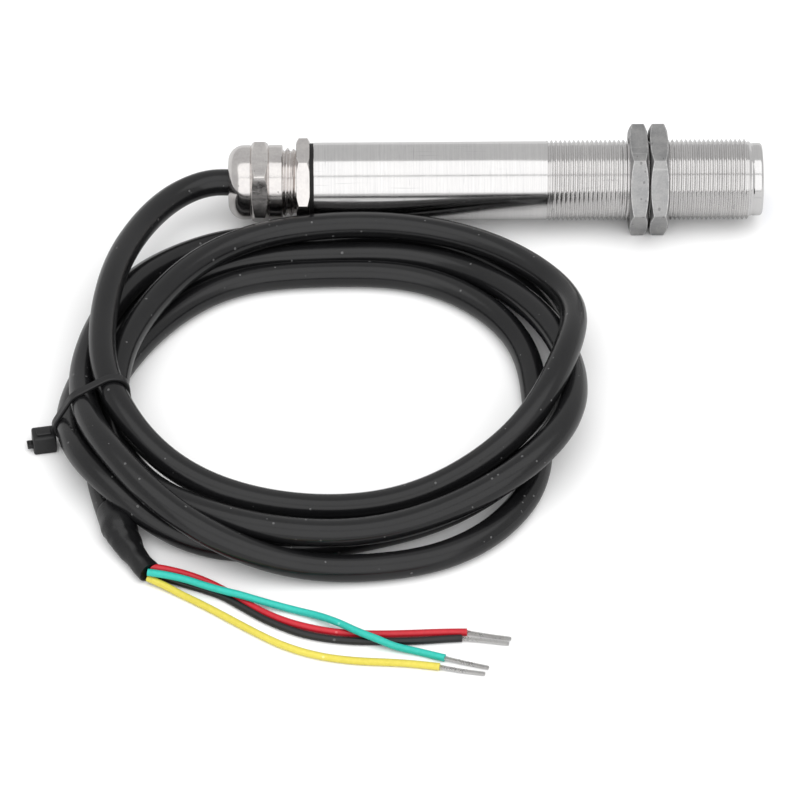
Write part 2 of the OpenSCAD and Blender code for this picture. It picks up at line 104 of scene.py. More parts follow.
class Graph:
    """A node tree under construction: adds nodes, sets their sockets and joins them."""

    def __init__(self, tree: bpy.types.NodeTree) -> None:
        """Keeps the tree that nodes are added to."""
        self.tree = tree

    def add(self, kind: str, feeds: Mapping[Any, Any] | None = None, **settings: Any) -> bpy.types.Node:
        """Adds one node.

        Args:
            kind: the node's type name.
            feeds: a value or a source socket for each input, by name or number.
            settings: the node's own properties.

        Returns:
            The new node.
        """
        node = self.tree.nodes.new(kind)
        for name, value in settings.items():
            setattr(node, name, value)
        for key, value in (feeds or {}).items():
            self.feed(node.inputs[key], value)
        return node

    def feed(self, socket: bpy.types.NodeSocket, value: Any) -> None:
        """Joins a source socket to an input, or sets a plain value on it.

        Args:
            socket: the input.
            value: what goes into it.
        """
        if isinstance(value, bpy.types.NodeSocket):
            self.tree.links.new(value, socket)
        else:
            socket.default_value = value

    def math(self, operation: str, *values: Any, clamp: bool = False) -> bpy.types.NodeSocket:
        """Adds a Math node and returns its result."""
        node = self.add("ShaderNodeMath", dict(enumerate(values)), operation=operation, use_clamp=clamp)
        return node.outputs[0]

    def span(self, value: Any, low: float, high: float, start: float = 0.0, end: float = 1.0,
             smooth: bool = False) -> bpy.types.NodeSocket:
        """Maps a value from one range to another, clamped.

        Args:
            value: the source socket.
            low: the value that gives start.
            high: the value that gives end.
            start: the result at low.
            end: the result at high.
            smooth: True for a smooth step.

        Returns:
            The mapped value.
        """
        feeds = {"Value": value, "From Min": low, "From Max": high, "To Min": start, "To Max": end}
        kind = "SMOOTHSTEP" if smooth else "LINEAR"
        return self.add("ShaderNodeMapRange", feeds, interpolation_type=kind).outputs[0]

    def blend(self, factor: Any, first: Any, second: Any) -> bpy.types.NodeSocket:
        """Mixes two colours by a factor."""
        node = self.add("ShaderNodeMix", {0: factor, 6: first, 7: second}, data_type="RGBA")
        return node.outputs[2]

    def mix(self, factor: Any, first: Any, second: Any) -> bpy.types.NodeSocket:
        """Mixes two numbers by a factor."""
        return self.add("ShaderNodeMix", {0: factor, 2: first, 3: second}).outputs[0]

    def split(self, place: Any) -> bpy.types.NodeOutputs:
        """Gives a vector's X, Y and Z, by number."""
        return self.add("ShaderNodeSeparateXYZ", {0: place}).outputs

    def vector(self, *parts: Any) -> bpy.types.NodeSocket:
        """Makes a vector of its X, Y and Z."""
        return self.add("ShaderNodeCombineXYZ", dict(enumerate(parts))).outputs[0]

    def stretch(self, place: Any, scale: tuple[float, float, float],
                turn: float = 0.0) -> bpy.types.NodeSocket:
        """Scales a position along each axis after a turn about Z."""
        feeds = {"Vector": place, "Rotation": (0.0, 0.0, turn), "Scale": scale}
        return self.add("ShaderNodeMapping", feeds).outputs[0]

    def noise(self, place: Any, scale: Any, detail: float = 3.0,
              rough: float = 0.5) -> bpy.types.NodeSocket:
        """Adds a Noise texture and returns its value."""
        feeds = {"Vector": place, "Scale": scale, "Detail": detail, "Roughness": rough}
        return self.add("ShaderNodeTexNoise", feeds).outputs["Fac"]


def rgba(colour: Colour) -> tuple[float, float, float, float]:
    """Adds a full alpha to a colour."""
    return (*colour, 1.0)


def new_group(name: str, kind: str, takes: Mapping[str, tuple[str, Any]],
              gives: Mapping[str, str]) -> tuple[Graph, bpy.types.Node, bpy.types.Node]:
    """Starts a node group with named sockets.

    Args:
        name: the group's name.
        kind: ShaderNodeTree or GeometryNodeTree.
        takes: the inputs, each with its socket type and starting value.
        gives: the outputs, each with its socket type.

    Returns:
        The graph, the group's input node and its output node.
    """
    tree = bpy.data.node_groups.new(name, kind)
    for label, (socket, value) in takes.items():
        made = tree.interface.new_socket(name=label, in_out="INPUT", socket_type=socket)
        if value is not None:
            made.default_value = value
    for label, socket in gives.items():
        tree.interface.new_socket(name=label, in_out="OUTPUT", socket_type=socket)
    graph = Graph(tree)
    return graph, graph.add("NodeGroupInput"), graph.add("NodeGroupOutput")


NUMBER = "NodeSocketFloat"
POSITION = "NodeSocketVector"
# How fast turning marks change across the axis, in lines for each metre.
ACROSS_MARKS = 60.0
# Each direction of scratches: its turn about Z in radians, and its stretch along each axis.
SCRATCH_WAYS = ((0.45, (3.0, 0.06, 0.3)), (-0.8, (0.08, 2.6, 0.35)))
SCRATCH_CONTRAST = 14.0


class Effect(Enum):
    """Surface effects that several finishes share, each one node group."""

    TURNING_MARKS = "turning_marks"
    SCRATCHES = "fine_scratches"
    SPECKS = "dust_specks"
    MOTTLE = "mottle"
    WEAR = "edge_wear"


def turning_marks() -> bpy.types.NodeTree:
    """Builds the lines that a lathe tool leaves round the X axis.

    Returns:
        A group with a Height from a position and the number of lines in a metre.
    """
    graph, takes, gives = new_group(
        Effect.TURNING_MARKS.value, "ShaderNodeTree",
        {"Vector": (POSITION, None), "Lines": (NUMBER, 4000.0)}, {"Height": NUMBER})
    parts = graph.split(takes.outputs["Vector"])
    along = graph.math("MULTIPLY", parts[0], takes.outputs["Lines"])
    place = graph.vector(along, *(graph.math("MULTIPLY", parts[i], ACROSS_MARKS) for i in (1, 2)))
    graph.feed(gives.inputs["Height"], graph.noise(place, 1.0, 4.0, 0.65))
    return graph.tree


def fine_scratches() -> bpy.types.NodeTree:
    """Builds thin short lines in two directions.

    Returns:
        A group with a Mask from a position, a scale and how much is scratched.
    """
    graph, takes, gives = new_group(
        Effect.SCRATCHES.value, "ShaderNodeTree",
        {"Vector": (POSITION, None), "Scale": (NUMBER, 200.0), "Amount": (NUMBER, 0.3)}, {"Mask": NUMBER})
    place = graph.add("ShaderNodeVectorMath",
                      {0: takes.outputs["Vector"], 3: takes.outputs["Scale"]}, operation="SCALE").outputs[0]
    limit = graph.math("SUBTRACT", 1.0, takes.outputs["Amount"])
    masks = []
    for turn, scale in SCRATCH_WAYS:
        lines = graph.noise(graph.stretch(place, scale, turn), 1.0, 1.0)
        over = graph.math("SUBTRACT", lines, limit)
        masks.append(graph.math("MULTIPLY", over, SCRATCH_CONTRAST, clamp=True))
    graph.feed(gives.inputs["Mask"], graph.math("MAXIMUM", *masks))
    return graph.tree


def dust_specks() -> bpy.types.NodeTree:
    """Builds small scattered specks.

    Returns:
        A group with a Mask from a position, a scale and the size of the largest speck.
    """
    graph, takes, gives = new_group(
        Effect.SPECKS.value, "ShaderNodeTree",
        {"Vector": (POSITION, None), "Scale": (NUMBER, 600.0), "Size": (NUMBER, 0.25)}, {"Mask": NUMBER})
    cells = graph.add("ShaderNodeTexVoronoi", {name: takes.outputs[name] for name in ("Vector", "Scale")})
    chance = graph.split(cells.outputs["Color"])[0]
    reach = graph.math("MULTIPLY", graph.span(chance, 0.7, 1.0), takes.outputs["Size"])
    graph.feed(gives.inputs["Mask"], graph.math("LESS_THAN", cells.outputs["Distance"], reach))
    return graph.tree


def mottle() -> bpy.types.NodeTree:
    """Builds soft uneven patches with finer grain in them.

    Returns:
        A group with a Value from a position, a coarse scale and a fine scale.
    """
    graph, takes, gives = new_group(
        Effect.MOTTLE.value, "ShaderNodeTree",
        {"Vector": (POSITION, None), "Coarse": (NUMBER, 60.0), "Fine": (NUMBER, 1500.0)}, {"Value": NUMBER})
    coarse = graph.noise(takes.outputs["Vector"], takes.outputs["Coarse"], 2.0)
    fine = graph.noise(takes.outputs["Vector"], takes.outputs["Fine"], 3.0, 0.6)
    value = graph.math("MULTIPLY_ADD", coarse, 0.6, graph.math("MULTIPLY", fine, 0.4))
    graph.feed(gives.inputs["Value"], value)
    return graph.tree


def edge_wear() -> bpy.types.NodeTree:
    """Builds broken bright wear along marked edges.

    Returns:
        A group with a Mask from a position, how near an edge is and a scale.
    """
    graph, takes, gives = new_group(
        Effect.WEAR.value, "ShaderNodeTree",
        {"Vector": (POSITION, None), "Edge": (NUMBER, 0.0), "Scale": (NUMBER, 900.0)}, {"Mask": NUMBER})
    chips = graph.noise(takes.outputs["Vector"], takes.outputs["Scale"], 3.0, 0.6)
    worn = graph.math("ADD", takes.outputs["Edge"], graph.math("SUBTRACT", chips, 0.5))
    graph.feed(gives.inputs["Mask"], graph.span(worn, 0.55, 0.95, smooth=True))
    return graph.tree


EFFECT_MAKERS: dict[Effect, Callable[[], bpy.types.NodeTree]] = {
    Effect.TURNING_MARKS: turning_marks,
    Effect.SCRATCHES: fine_scratches,
    Effect.SPECKS: dust_specks,
    Effect.MOTTLE: mottle,
    Effect.WEAR: edge_wear,
}


def effect(graph: Graph, kind: Effect, feeds: Mapping[str, Any]) -> bpy.types.NodeSocket:
    """Places a shared effect in a material, building its group the first time.

    Args:
        graph: the material's graph.
        kind: which effect.
        feeds: its inputs by name.

    Returns:
        The effect's one output.
    """
    tree = bpy.data.node_groups.get(kind.value) or EFFECT_MAKERS[kind]()
    node = graph.tree.nodes.new("ShaderNodeGroup")
    node.node_tree = tree
    for name, value in feeds.items():
        graph.feed(node.inputs[name], value)
    return node.outputs[0]


# ------------------------------------------------------------------ finishes


@dataclass(frozen=True)
class Surface:
    """What a finish paints: colour, roughness, and a height with its depth in metres."""

    colour: Any
    roughness: Any
    height: Any
    depth: float


@dataclass(frozen=True)
class Finish:
    """A finish: a material slot's colours and the shader's even values."""

    slot: str
    base: Colour
    second: Colour
    rough_low: float = 0.4
    rough_high: float = 0.6
    metallic: float = 0.0
    specular: float = 0.5
    follows: str = ""

    def place(self, graph: Graph) -> bpy.types.NodeSocket:
        """Gives the position that patterns read: the piece's own attribute, or its object's.

        Args:
            graph: the material's graph.

        Returns:
            The position.
        """
        if self.follows:
            return graph.add("ShaderNodeAttribute", attribute_name=self.follows).outputs["Vector"]
        return graph.add("ShaderNodeTexCoord").outputs["Object"]

    def paint(self, graph: Graph, place: bpy.types.NodeSocket) -> Surface:
        """Paints an even moulded surface.

        Args:
            graph: the material's graph.
            place: the position that patterns read.

        Returns:
            The surface.
        """
        patches = effect(graph, Effect.MOTTLE, {"Vector": place, "Coarse": 90.0, "Fine": 1800.0})
        colour = graph.blend(graph.span(patches, 0.35, 0.65), rgba(self.base), rgba(self.second))
        rough = graph.span(patches, 0.3, 0.7, self.rough_low, self.rough_high)
        return Surface(colour, rough, graph.noise(place, 4200.0, 2.0), 0.015 * MM)

    def make(self) -> bpy.types.Material:
        """Builds the material, or finds it if it is there already.

        Returns:
            The material.
        """
        made = bpy.data.materials.get(self.slot)
        if made is not None and made.get("dressed"):
            return made
        made = bpy.data.materials.new(self.slot)
        made["dressed"] = True
        made.use_nodes = True
        graph = Graph(made.node_tree)
        shader = made.node_tree.nodes["Principled BSDF"]
        surface = self.paint(graph, self.place(graph))
        bump = graph.add("ShaderNodeBump",
                         {"Height": surface.height, "Strength": 1.0, "Distance": surface.depth})
        graph.feed(shader.inputs["Base Color"], surface.colour)
        graph.feed(shader.inputs["Roughness"], surface.roughness)
        graph.feed(shader.inputs["Normal"], bump.outputs[0])
        shader.inputs["Metallic"].default_value = self.metallic
        shader.inputs["Specular IOR Level"].default_value = self.specular
        return made


@dataclass(frozen=True)
class TurnedSteel(Finish):
    """Bright stainless steel with lathe marks round it and a few handling scratches."""

    lines: float = 3500.0
    depth: float = 0.0007 * MM

    def paint(self, graph: Graph, place: bpy.types.NodeSocket) -> Surface:
        """Paints the turned metal: marks, scratches and faint smears.

        Args:
            graph: the material's graph.
            place: the position that patterns read.

        Returns:
            The surface.
        """
        marks = effect(graph, Effect.TURNING_MARKS, {"Vector": place, "Lines": self.lines})
        scratch = effect(graph, Effect.SCRATCHES, {"Vector": place, "Scale": 900.0, "Amount": 0.3})
        smears = effect(graph, Effect.MOTTLE, {"Vector": place, "Coarse": 70.0, "Fine": 600.0})
        tone = graph.math("MULTIPLY_ADD", marks, 0.6, graph.math("MULTIPLY", smears, 0.4))
        colour = graph.blend(graph.span(tone, 0.35, 0.65), rgba(self.base), rgba(self.second))
        colour = graph.blend(graph.math("MULTIPLY", scratch, 0.35), colour, rgba((0.45, 0.45, 0.46)))
        rough = graph.math("ADD", graph.span(smears, 0.3, 0.7, self.rough_low, self.rough_high),
                           graph.math("MULTIPLY", scratch, 0.12))
        height = graph.math("SUBTRACT", marks, graph.math("MULTIPLY", scratch, 0.8))
        return Surface(colour, rough, height, self.depth)


@dataclass(frozen=True)
class WorkedMetal(Finish):
    """Machined or plated metal with grain, small nicks, scratches and worn corners."""

    grain: float = 2600.0
    nicks: float = 0.3
    depth: float = 0.01 * MM
    worn: Colour = (0.8, 0.8, 0.79)

    def paint(self, graph: Graph, place: bpy.types.NodeSocket) -> Surface:
        """Paints the grain, the nicks and the wear that the piece's edges are marked for.

        Args:
            graph: the material's graph.
            place: the position that patterns read.

        Returns:
            The surface.
        """
        patches = effect(graph, Effect.MOTTLE, {"Vector": place, "Coarse": 260.0, "Fine": self.grain})
        scratch = effect(graph, Effect.SCRATCHES, {"Vector": place, "Scale": 1100.0, "Amount": 0.32})
        nick = effect(graph, Effect.SPECKS, {"Vector": graph.stretch(place, (1.0, 0.5, 0.8), 0.7),
                                             "Scale": 850.0, "Size": self.nicks})
        edge = graph.add("ShaderNodeAttribute", attribute_name="edge").outputs["Fac"]
        wear = effect(graph, Effect.WEAR, {"Vector": place, "Edge": edge, "Scale": 1300.0})
        colour = graph.blend(graph.span(patches, 0.38, 0.62), rgba(self.base), rgba(self.second))
        colour = graph.blend(graph.math("MULTIPLY", nick, 0.45), colour, rgba((0.12, 0.12, 0.12)))
        colour = graph.blend(graph.math("MULTIPLY", scratch, 0.3), colour, rgba(self.worn))
        colour = graph.blend(graph.math("MULTIPLY", wear, 0.8), colour, rgba(self.worn))
        rough = graph.span(patches, 0.35, 0.65, self.rough_low, self.rough_high)
        cut = graph.math("MULTIPLY_ADD", nick, 1.6, graph.math("MULTIPLY", scratch, 0.5))
        return Surface(colour, rough, graph.math("SUBTRACT", patches, cut), self.depth)


@dataclass(frozen=True)
class Extruded(Finish):
    """A cord's plastic skin: faint draw lines along it, fine grain and specks of dust."""

    dust: Colour = (0.16, 0.16, 0.16)
    speck: float = 0.2
    follows: str = "lay"

    def paint(self, graph: Graph, place: bpy.types.NodeSocket) -> Surface:
        """Paints the skin in the cord's own length and girth.

        Args:
            graph: the material's graph.
            place: the position that patterns read.

        Returns:
            The surface.
        """
        draw = graph.noise(graph.stretch(place, (25.0, 1100.0, 1100.0)), 1.0, 3.0, 0.6)
        patches = effect(graph, Effect.MOTTLE, {"Vector": place, "Coarse": 45.0, "Fine": 1300.0})
        specks = effect(graph, Effect.SPECKS, {"Vector": place, "Scale": 620.0, "Size": self.speck})
        colour = graph.blend(graph.span(patches, 0.35, 0.65), rgba(self.base), rgba(self.second))
        colour = graph.blend(graph.math("MULTIPLY", specks, 0.5), colour, rgba(self.dust))
        rough = graph.span(patches, 0.3, 0.7, self.rough_low, self.rough_high)
        height = graph.math("MULTIPLY_ADD", draw, 0.5, graph.math("MULTIPLY", patches, 0.7))
        return Surface(colour, rough, height, 0.02 * MM)


@dataclass(frozen=True)
class CircuitLacquer(Finish):
    """Green solder mask with lighter tracks under it."""

    def paint(self, graph: Graph, place: bpy.types.NodeSocket) -> Surface:
        """Paints tracks that run along and across the board.

        Args:
            graph: the material's graph.
            place: the position that patterns read.

        Returns:
            The surface.
        """
        bricks = graph.add("ShaderNodeTexBrick",
                           {"Vector": place, "Scale": 300.0, "Mortar Size": 0.06, "Mortar Smooth": 0.1,
                            "Brick Width": 1.4, "Row Height": 0.35})
        tracks = bricks.outputs["Fac"]
        colour = graph.blend(tracks, rgba(self.base), rgba(self.second))
        rough = graph.span(graph.noise(place, 900.0), 0.3, 0.7, self.rough_low, self.rough_high)
        return Surface(colour, rough, tracks, 0.03 * MM)


@dataclass(frozen=True)
class Winding(Finish):
    """Enamelled copper in close turns round the X axis."""

    pitch: float = 0.22 * MM

    def paint(self, graph: Graph, place: bpy.types.NodeSocket) -> Surface:
        """Paints each turn bright in its middle and dark at its edges: a painted highlight on each turn and
        painted shade in the grooves between turns.

        Args:
            graph: the material's graph.
            place: the position that patterns read.

        Returns:
            The surface.
        """
        along = graph.split(place)[0]
        turns = graph.math("PINGPONG", graph.math("DIVIDE", along, self.pitch), 0.5)
        # Painted shade between the turns, fading to a painted highlight along each turn's middle.
        colour = graph.blend(graph.span(turns, 0.0, 0.4), rgba(self.second), rgba(self.base))
        rough = graph.span(graph.noise(place, 1500.0), 0.3, 0.7, self.rough_low, self.rough_high)
        return Surface(colour, rough, turns, 0.08 * MM)


FINISHES: dict[str, Finish] = {made.slot: made for made in (
    TurnedSteel("stainless_steel", (0.75, 0.742, 0.74), (0.85, 0.84, 0.835), 0.1, 0.18, metallic=1.0),
    WorkedMetal("nut_steel", (0.37, 0.37, 0.375), (0.53, 0.525, 0.52), 0.38, 0.55, metallic=1.0),
    WorkedMetal("nickel_plate", (0.72, 0.69, 0.68), (0.82, 0.79, 0.77), 0.1, 0.24, metallic=1.0,
                grain=1500.0, nicks=0.14, depth=0.009 * MM, worn=(0.9, 0.87, 0.84)),
    WorkedMetal("tinned_copper", (0.62, 0.61, 0.6), (0.8, 0.79, 0.78), 0.22, 0.4, metallic=1.0, nicks=0.1),
    WorkedMetal("can_metal", (0.7, 0.7, 0.71), (0.8, 0.8, 0.81), 0.25, 0.4, metallic=1.0, nicks=0.1),
    WorkedMetal("ferrite", (0.05, 0.05, 0.055), (0.09, 0.09, 0.095), 0.45, 0.65, worn=(0.16, 0.16, 0.16)),
    # The winding's second colour is the painted shade in the grooves between its turns.
    Winding("copper_wire", (0.62, 0.26, 0.12), (0.22, 0.07, 0.03), 0.25, 0.4, metallic=1.0),
    Extruded("jacket", (0.005, 0.005, 0.0055), (0.009, 0.009, 0.0095), 0.17, 0.27),
    Extruded("shrink_tube", (0.004, 0.004, 0.0045), (0.008, 0.008, 0.0085), 0.24, 0.38),
    Extruded("core_red", (0.42, 0.009, 0.018), (0.55, 0.016, 0.03), 0.3, 0.42, dust=(0.7, 0.2, 0.2)),
    Extruded("core_black", (0.008, 0.008, 0.0085), (0.015, 0.015, 0.016), 0.28, 0.4),
    Extruded("core_teal", (0.015, 0.4, 0.33), (0.025, 0.5, 0.42), 0.3, 0.42, dust=(0.3, 0.7, 0.62)),
    Extruded("core_yellow", (0.58, 0.49, 0.055), (0.68, 0.59, 0.09), 0.3, 0.42, dust=(0.85, 0.8, 0.4)),
    Finish("tie_nylon", (0.005, 0.005, 0.0055), (0.01, 0.01, 0.0105), 0.28, 0.42),
    Finish("gasket_rubber", (0.005, 0.005, 0.005), (0.01, 0.01, 0.01), 0.45, 0.65, specular=0.3),
    Finish("face_plastic", (0.02, 0.075, 0.32), (0.03, 0.1, 0.38), 0.4, 0.55),
    Finish("bobbin_plastic", (0.72, 0.7, 0.63), (0.8, 0.78, 0.72), 0.4, 0.55),
    Finish("resin", (0.03, 0.04, 0.04), (0.05, 0.065, 0.065), 0.12, 0.3),
    Finish("film", (0.62, 0.4, 0.1), (0.72, 0.5, 0.16), 0.15, 0.3),
    CircuitLacquer("board", (0.015, 0.17, 0.06), (0.05, 0.33, 0.13), 0.25, 0.4),
    Finish("chip_plastic", (0.014, 0.014, 0.015), (0.026, 0.026, 0.027), 0.5, 0.65),
    Finish("chip_ceramic", (0.42, 0.26, 0.14), (0.52, 0.34, 0.2), 0.4, 0.6),
)}


# ------------------------------------------------------------------ mesh helpers


def smooth_curve(points: np.ndarray, steps: int) -> np.ndarray:
    """Runs a smooth curve through points.

    Args:
        points: the points to pass through, one a row.
        steps: how many points to give for each one.

    Returns:
        The curve's points.
    """
    ends = np.vstack([2 * points[0] - points[1], points, 2 * points[-1] - points[-2]])
    part = np.linspace(0.0, 1.0, steps, endpoint=False)[:, None]
    pieces = []
    for a, b, c, d in zip(ends, ends[1:], ends[2:], ends[3:]):
        pieces.append(0.5 * (2 * b + (c - a) * part + (2 * a - 5 * b + 4 * c - d) * part ** 2
                             + (3 * b - a - 3 * c + d) * part ** 3))
    return np.vstack([*pieces, points[-1:]])


def distances(points: np.ndarray) -> np.ndarray:
    """Gives the distance along a path of each of its points."""
    return np.r_[0.0, np.cumsum(np.linalg.norm(np.diff(points, axis=0), axis=1))]


def even_path(points: np.ndarray, step: float) -> np.ndarray:
    """Lays points at one even distance along a smooth curve.

    Args:
        points: the points that the curve passes through.
        step: the distance between the new points, which is rounded to fit the length.

    Returns:
        The new points.
    """
    fine = smooth_curve(points, 8)
    far = distances(fine)
    at = np.linspace(0.0, far[-1], round(far[-1] / step) + 1)
    return np.stack([np.interp(at, far, fine[:, axis]) for axis in range(3)], axis=1)


def frames(path: np.ndarray) -> tuple[np.ndarray, np.ndarray]:
    """Carries two cross directions along a path without twist.

    Args:
        path: the path's points.

    Returns:
        A side and an up direction for each point.
    """
    ways = np.gradient(path, axis=0)
    ways /= np.linalg.norm(ways, axis=1)[:, None]
    side = np.cross(ways[0], (0.0, 0.0, 1.0))
    sides = []
    for way in ways:
        side = side - way * side.dot(way)
        side = side / np.linalg.norm(side)
        sides.append(side)
    across = np.array(sides)
    return across, np.cross(across, ways)


def new_mesh(name: str, points: Iterable[Sequence[float]], faces: Iterable[Sequence[int]]) -> bpy.types.Mesh:
    """Makes a mesh from points and faces.

    Args:
        name: the mesh's name.
        points: its points.
        faces: its faces, each as the numbers of its points.

    Returns:
        The mesh.
    """
    mesh = bpy.data.meshes.new(name)
    mesh.from_pydata([tuple(map(float, p)) for p in points], [], [tuple(map(int, f)) for f in faces])
    mesh.update()
    return mesh


def mark(mesh: bpy.types.Mesh, name: str, kind: str, values: np.ndarray) -> None:
    """Stores a value for each point of a mesh.

    Args:
        mesh: the mesh.
        name: the attribute's name.
        kind: FLOAT or FLOAT_VECTOR.
        values: a value for each point.
    """
    layer = mesh.attributes.new(name, kind, "POINT")
    key = "vector" if kind == "FLOAT_VECTOR" else "value"
    layer.data.foreach_set(key, np.ravel(values).astype(np.float32))


def swept_mesh(name: str, path: np.ndarray, radii: np.ndarray, sides: int,
               swell: Callable[[float, float], float] | None = None) -> bpy.types.Mesh:
    """Sweeps a closed tube along a path and stores each point's place on it.

    Args:
        name: the mesh's name.
        path: the path's points.
        radii: the radius at each point.
        sides: how many sides the tube has.
        swell: a factor on the radius from the distance along and the angle round.

    Returns:
        The mesh, with the attribute "lay": distance along, and girth in two directions.
    """
    across, up = frames(path)
    far = distances(path)
    turns = np.arange(sides) * math.tau / sides
    points, lay = [], []
    for i, centre in enumerate(path):
        for turn in turns:
            reach = radii[i] * (swell(far[i], turn) if swell else 1.0)
            points.append(centre + reach * (math.cos(turn) * across[i] + math.sin(turn) * up[i]))
            lay.append((far[i], reach * math.cos(turn), reach * math.sin(turn)))
    last = len(path) - 1
    faces = [(i * sides + k, (i + 1) * sides + k,
              (i + 1) * sides + (k + 1) % sides, i * sides + (k + 1) % sides)
             for i in range(last) for k in range(sides)]
    for i, centre in ((0, path[0]), (last, path[-1])):
        points.append(centre)
        lay.append((far[i], 0.0, 0.0))
        hub = len(points) - 1
        for k in range(sides):
            rim = (i * sides + k, i * sides + (k + 1) % sides)
            faces.append((*rim, hub) if i == 0 else (*rim[::-1], hub))
    mesh = new_mesh(name, points, faces)
    mark(mesh, "lay", "FLOAT_VECTOR", np.array(lay))
    return face_outwards(mesh)


def face_outwards(mesh: bpy.types.Mesh, merge: float = 0.0) -> bpy.types.Mesh:
    """Merges points that meet, and turns every face of a closed skin outwards.

    Args:
        mesh: the mesh to mend.
        merge: points closer than this become one.

    Returns:
        The same mesh.
    """
    work = bmesh.new()
    work.from_mesh(mesh)
    if merge:
        bmesh.ops.remove_doubles(work, verts=work.verts, dist=merge)
    bmesh.ops.recalc_face_normals(work, faces=work.faces)
    if work.calc_volume(signed=True) < 0:
        bmesh.ops.reverse_faces(work, faces=work.faces)
    open_edges = sum(1 for edge in work.edges if not edge.is_manifold)
    if open_edges:
        LOG.warning("%s has %d open edges", mesh.name, open_edges)
    work.to_mesh(mesh)
    work.free()
    return mesh


def piece(name: str, mesh: bpy.types.Mesh, finish: str, body: Body, replaced: Sequence[str] = (),
          crease: float = 30.0) -> bpy.types.Object:
    """Makes a finished piece of a mesh: its look, its body and the CAD nodes it stands for.

    Args:
        name: the piece's name.
        mesh: its mesh, in place.
        finish: the material slot it is dressed in.
        body: the body it rides on.
        replaced: the CAD nodes that it replaces.
        crease: edges sharper than this many degrees stay sharp.

    Returns:
        The new object.
    """
    mesh.name = name
    mesh.materials.clear()
    mesh.materials.append(FINISHES[finish].make())
    mesh.polygons.foreach_set("use_smooth", [True] * len(mesh.polygons))
    mesh.set_sharp_from_angle(angle=math.radians(crease))
    made = bpy.data.objects.new(name, mesh)
    bpy.context.scene.collection.objects.link(made)
    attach(made, body.value)
    if replaced:
        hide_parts(*replaced)
    LOG.info("%s: %d faces on %s", name, len(mesh.polygons), body.value)
    return made


def grown_mesh(tree: bpy.types.NodeTree, values: Mapping[str, Any],
               base: bpy.types.ID | None = None) -> bpy.types.Mesh:
    """Runs a Geometry Nodes tree and keeps its result as a plain mesh.

    Args:
        tree: the tree to run.
        values: its inputs by name.
        base: the mesh or curve that it starts from.

    Returns:
        The mesh that it makes.
    """
    carrier = bpy.data.objects.new("carrier", base or bpy.data.meshes.new("carrier"))
    bpy.context.scene.collection.objects.link(carrier)
    modifier = carrier.modifiers.new("grow", "NODES")
    modifier.node_group = tree
    for item in tree.interface.items_tree:
        if item.item_type == "SOCKET" and item.in_out == "INPUT" and item.name in values:
            modifier[item.identifier] = values[item.name]
    graph = bpy.context.evaluated_depsgraph_get()
    mesh = bpy.data.meshes.new_from_object(carrier.evaluated_get(graph), depsgraph=graph)
    carrier.modifiers.clear()
    bpy.data.objects.remove(carrier)
    return mesh


GEOMETRY = "NodeSocketGeometry"
COUNT = "NodeSocketInt"
MATERIAL = "NodeSocketMaterial"


def finish_tree(graph: Graph, shape: bpy.types.NodeSocket, takes: bpy.types.Node,
                gives: bpy.types.Node) -> None:
    """Ends a Geometry Nodes tree with Realize Instances and Set Material.

    Args:
        graph: the tree's graph.
        shape: the geometry it has made.
        takes: its input node, which has a Material.
        gives: its output node.
    """
    real = graph.add("GeometryNodeRealizeInstances", {0: shape}).outputs[0]
    dressed = graph.add("GeometryNodeSetMaterial", {"Geometry": real, "Material": takes.outputs["Material"]})
    graph.feed(gives.inputs[0], dressed.outputs[0])


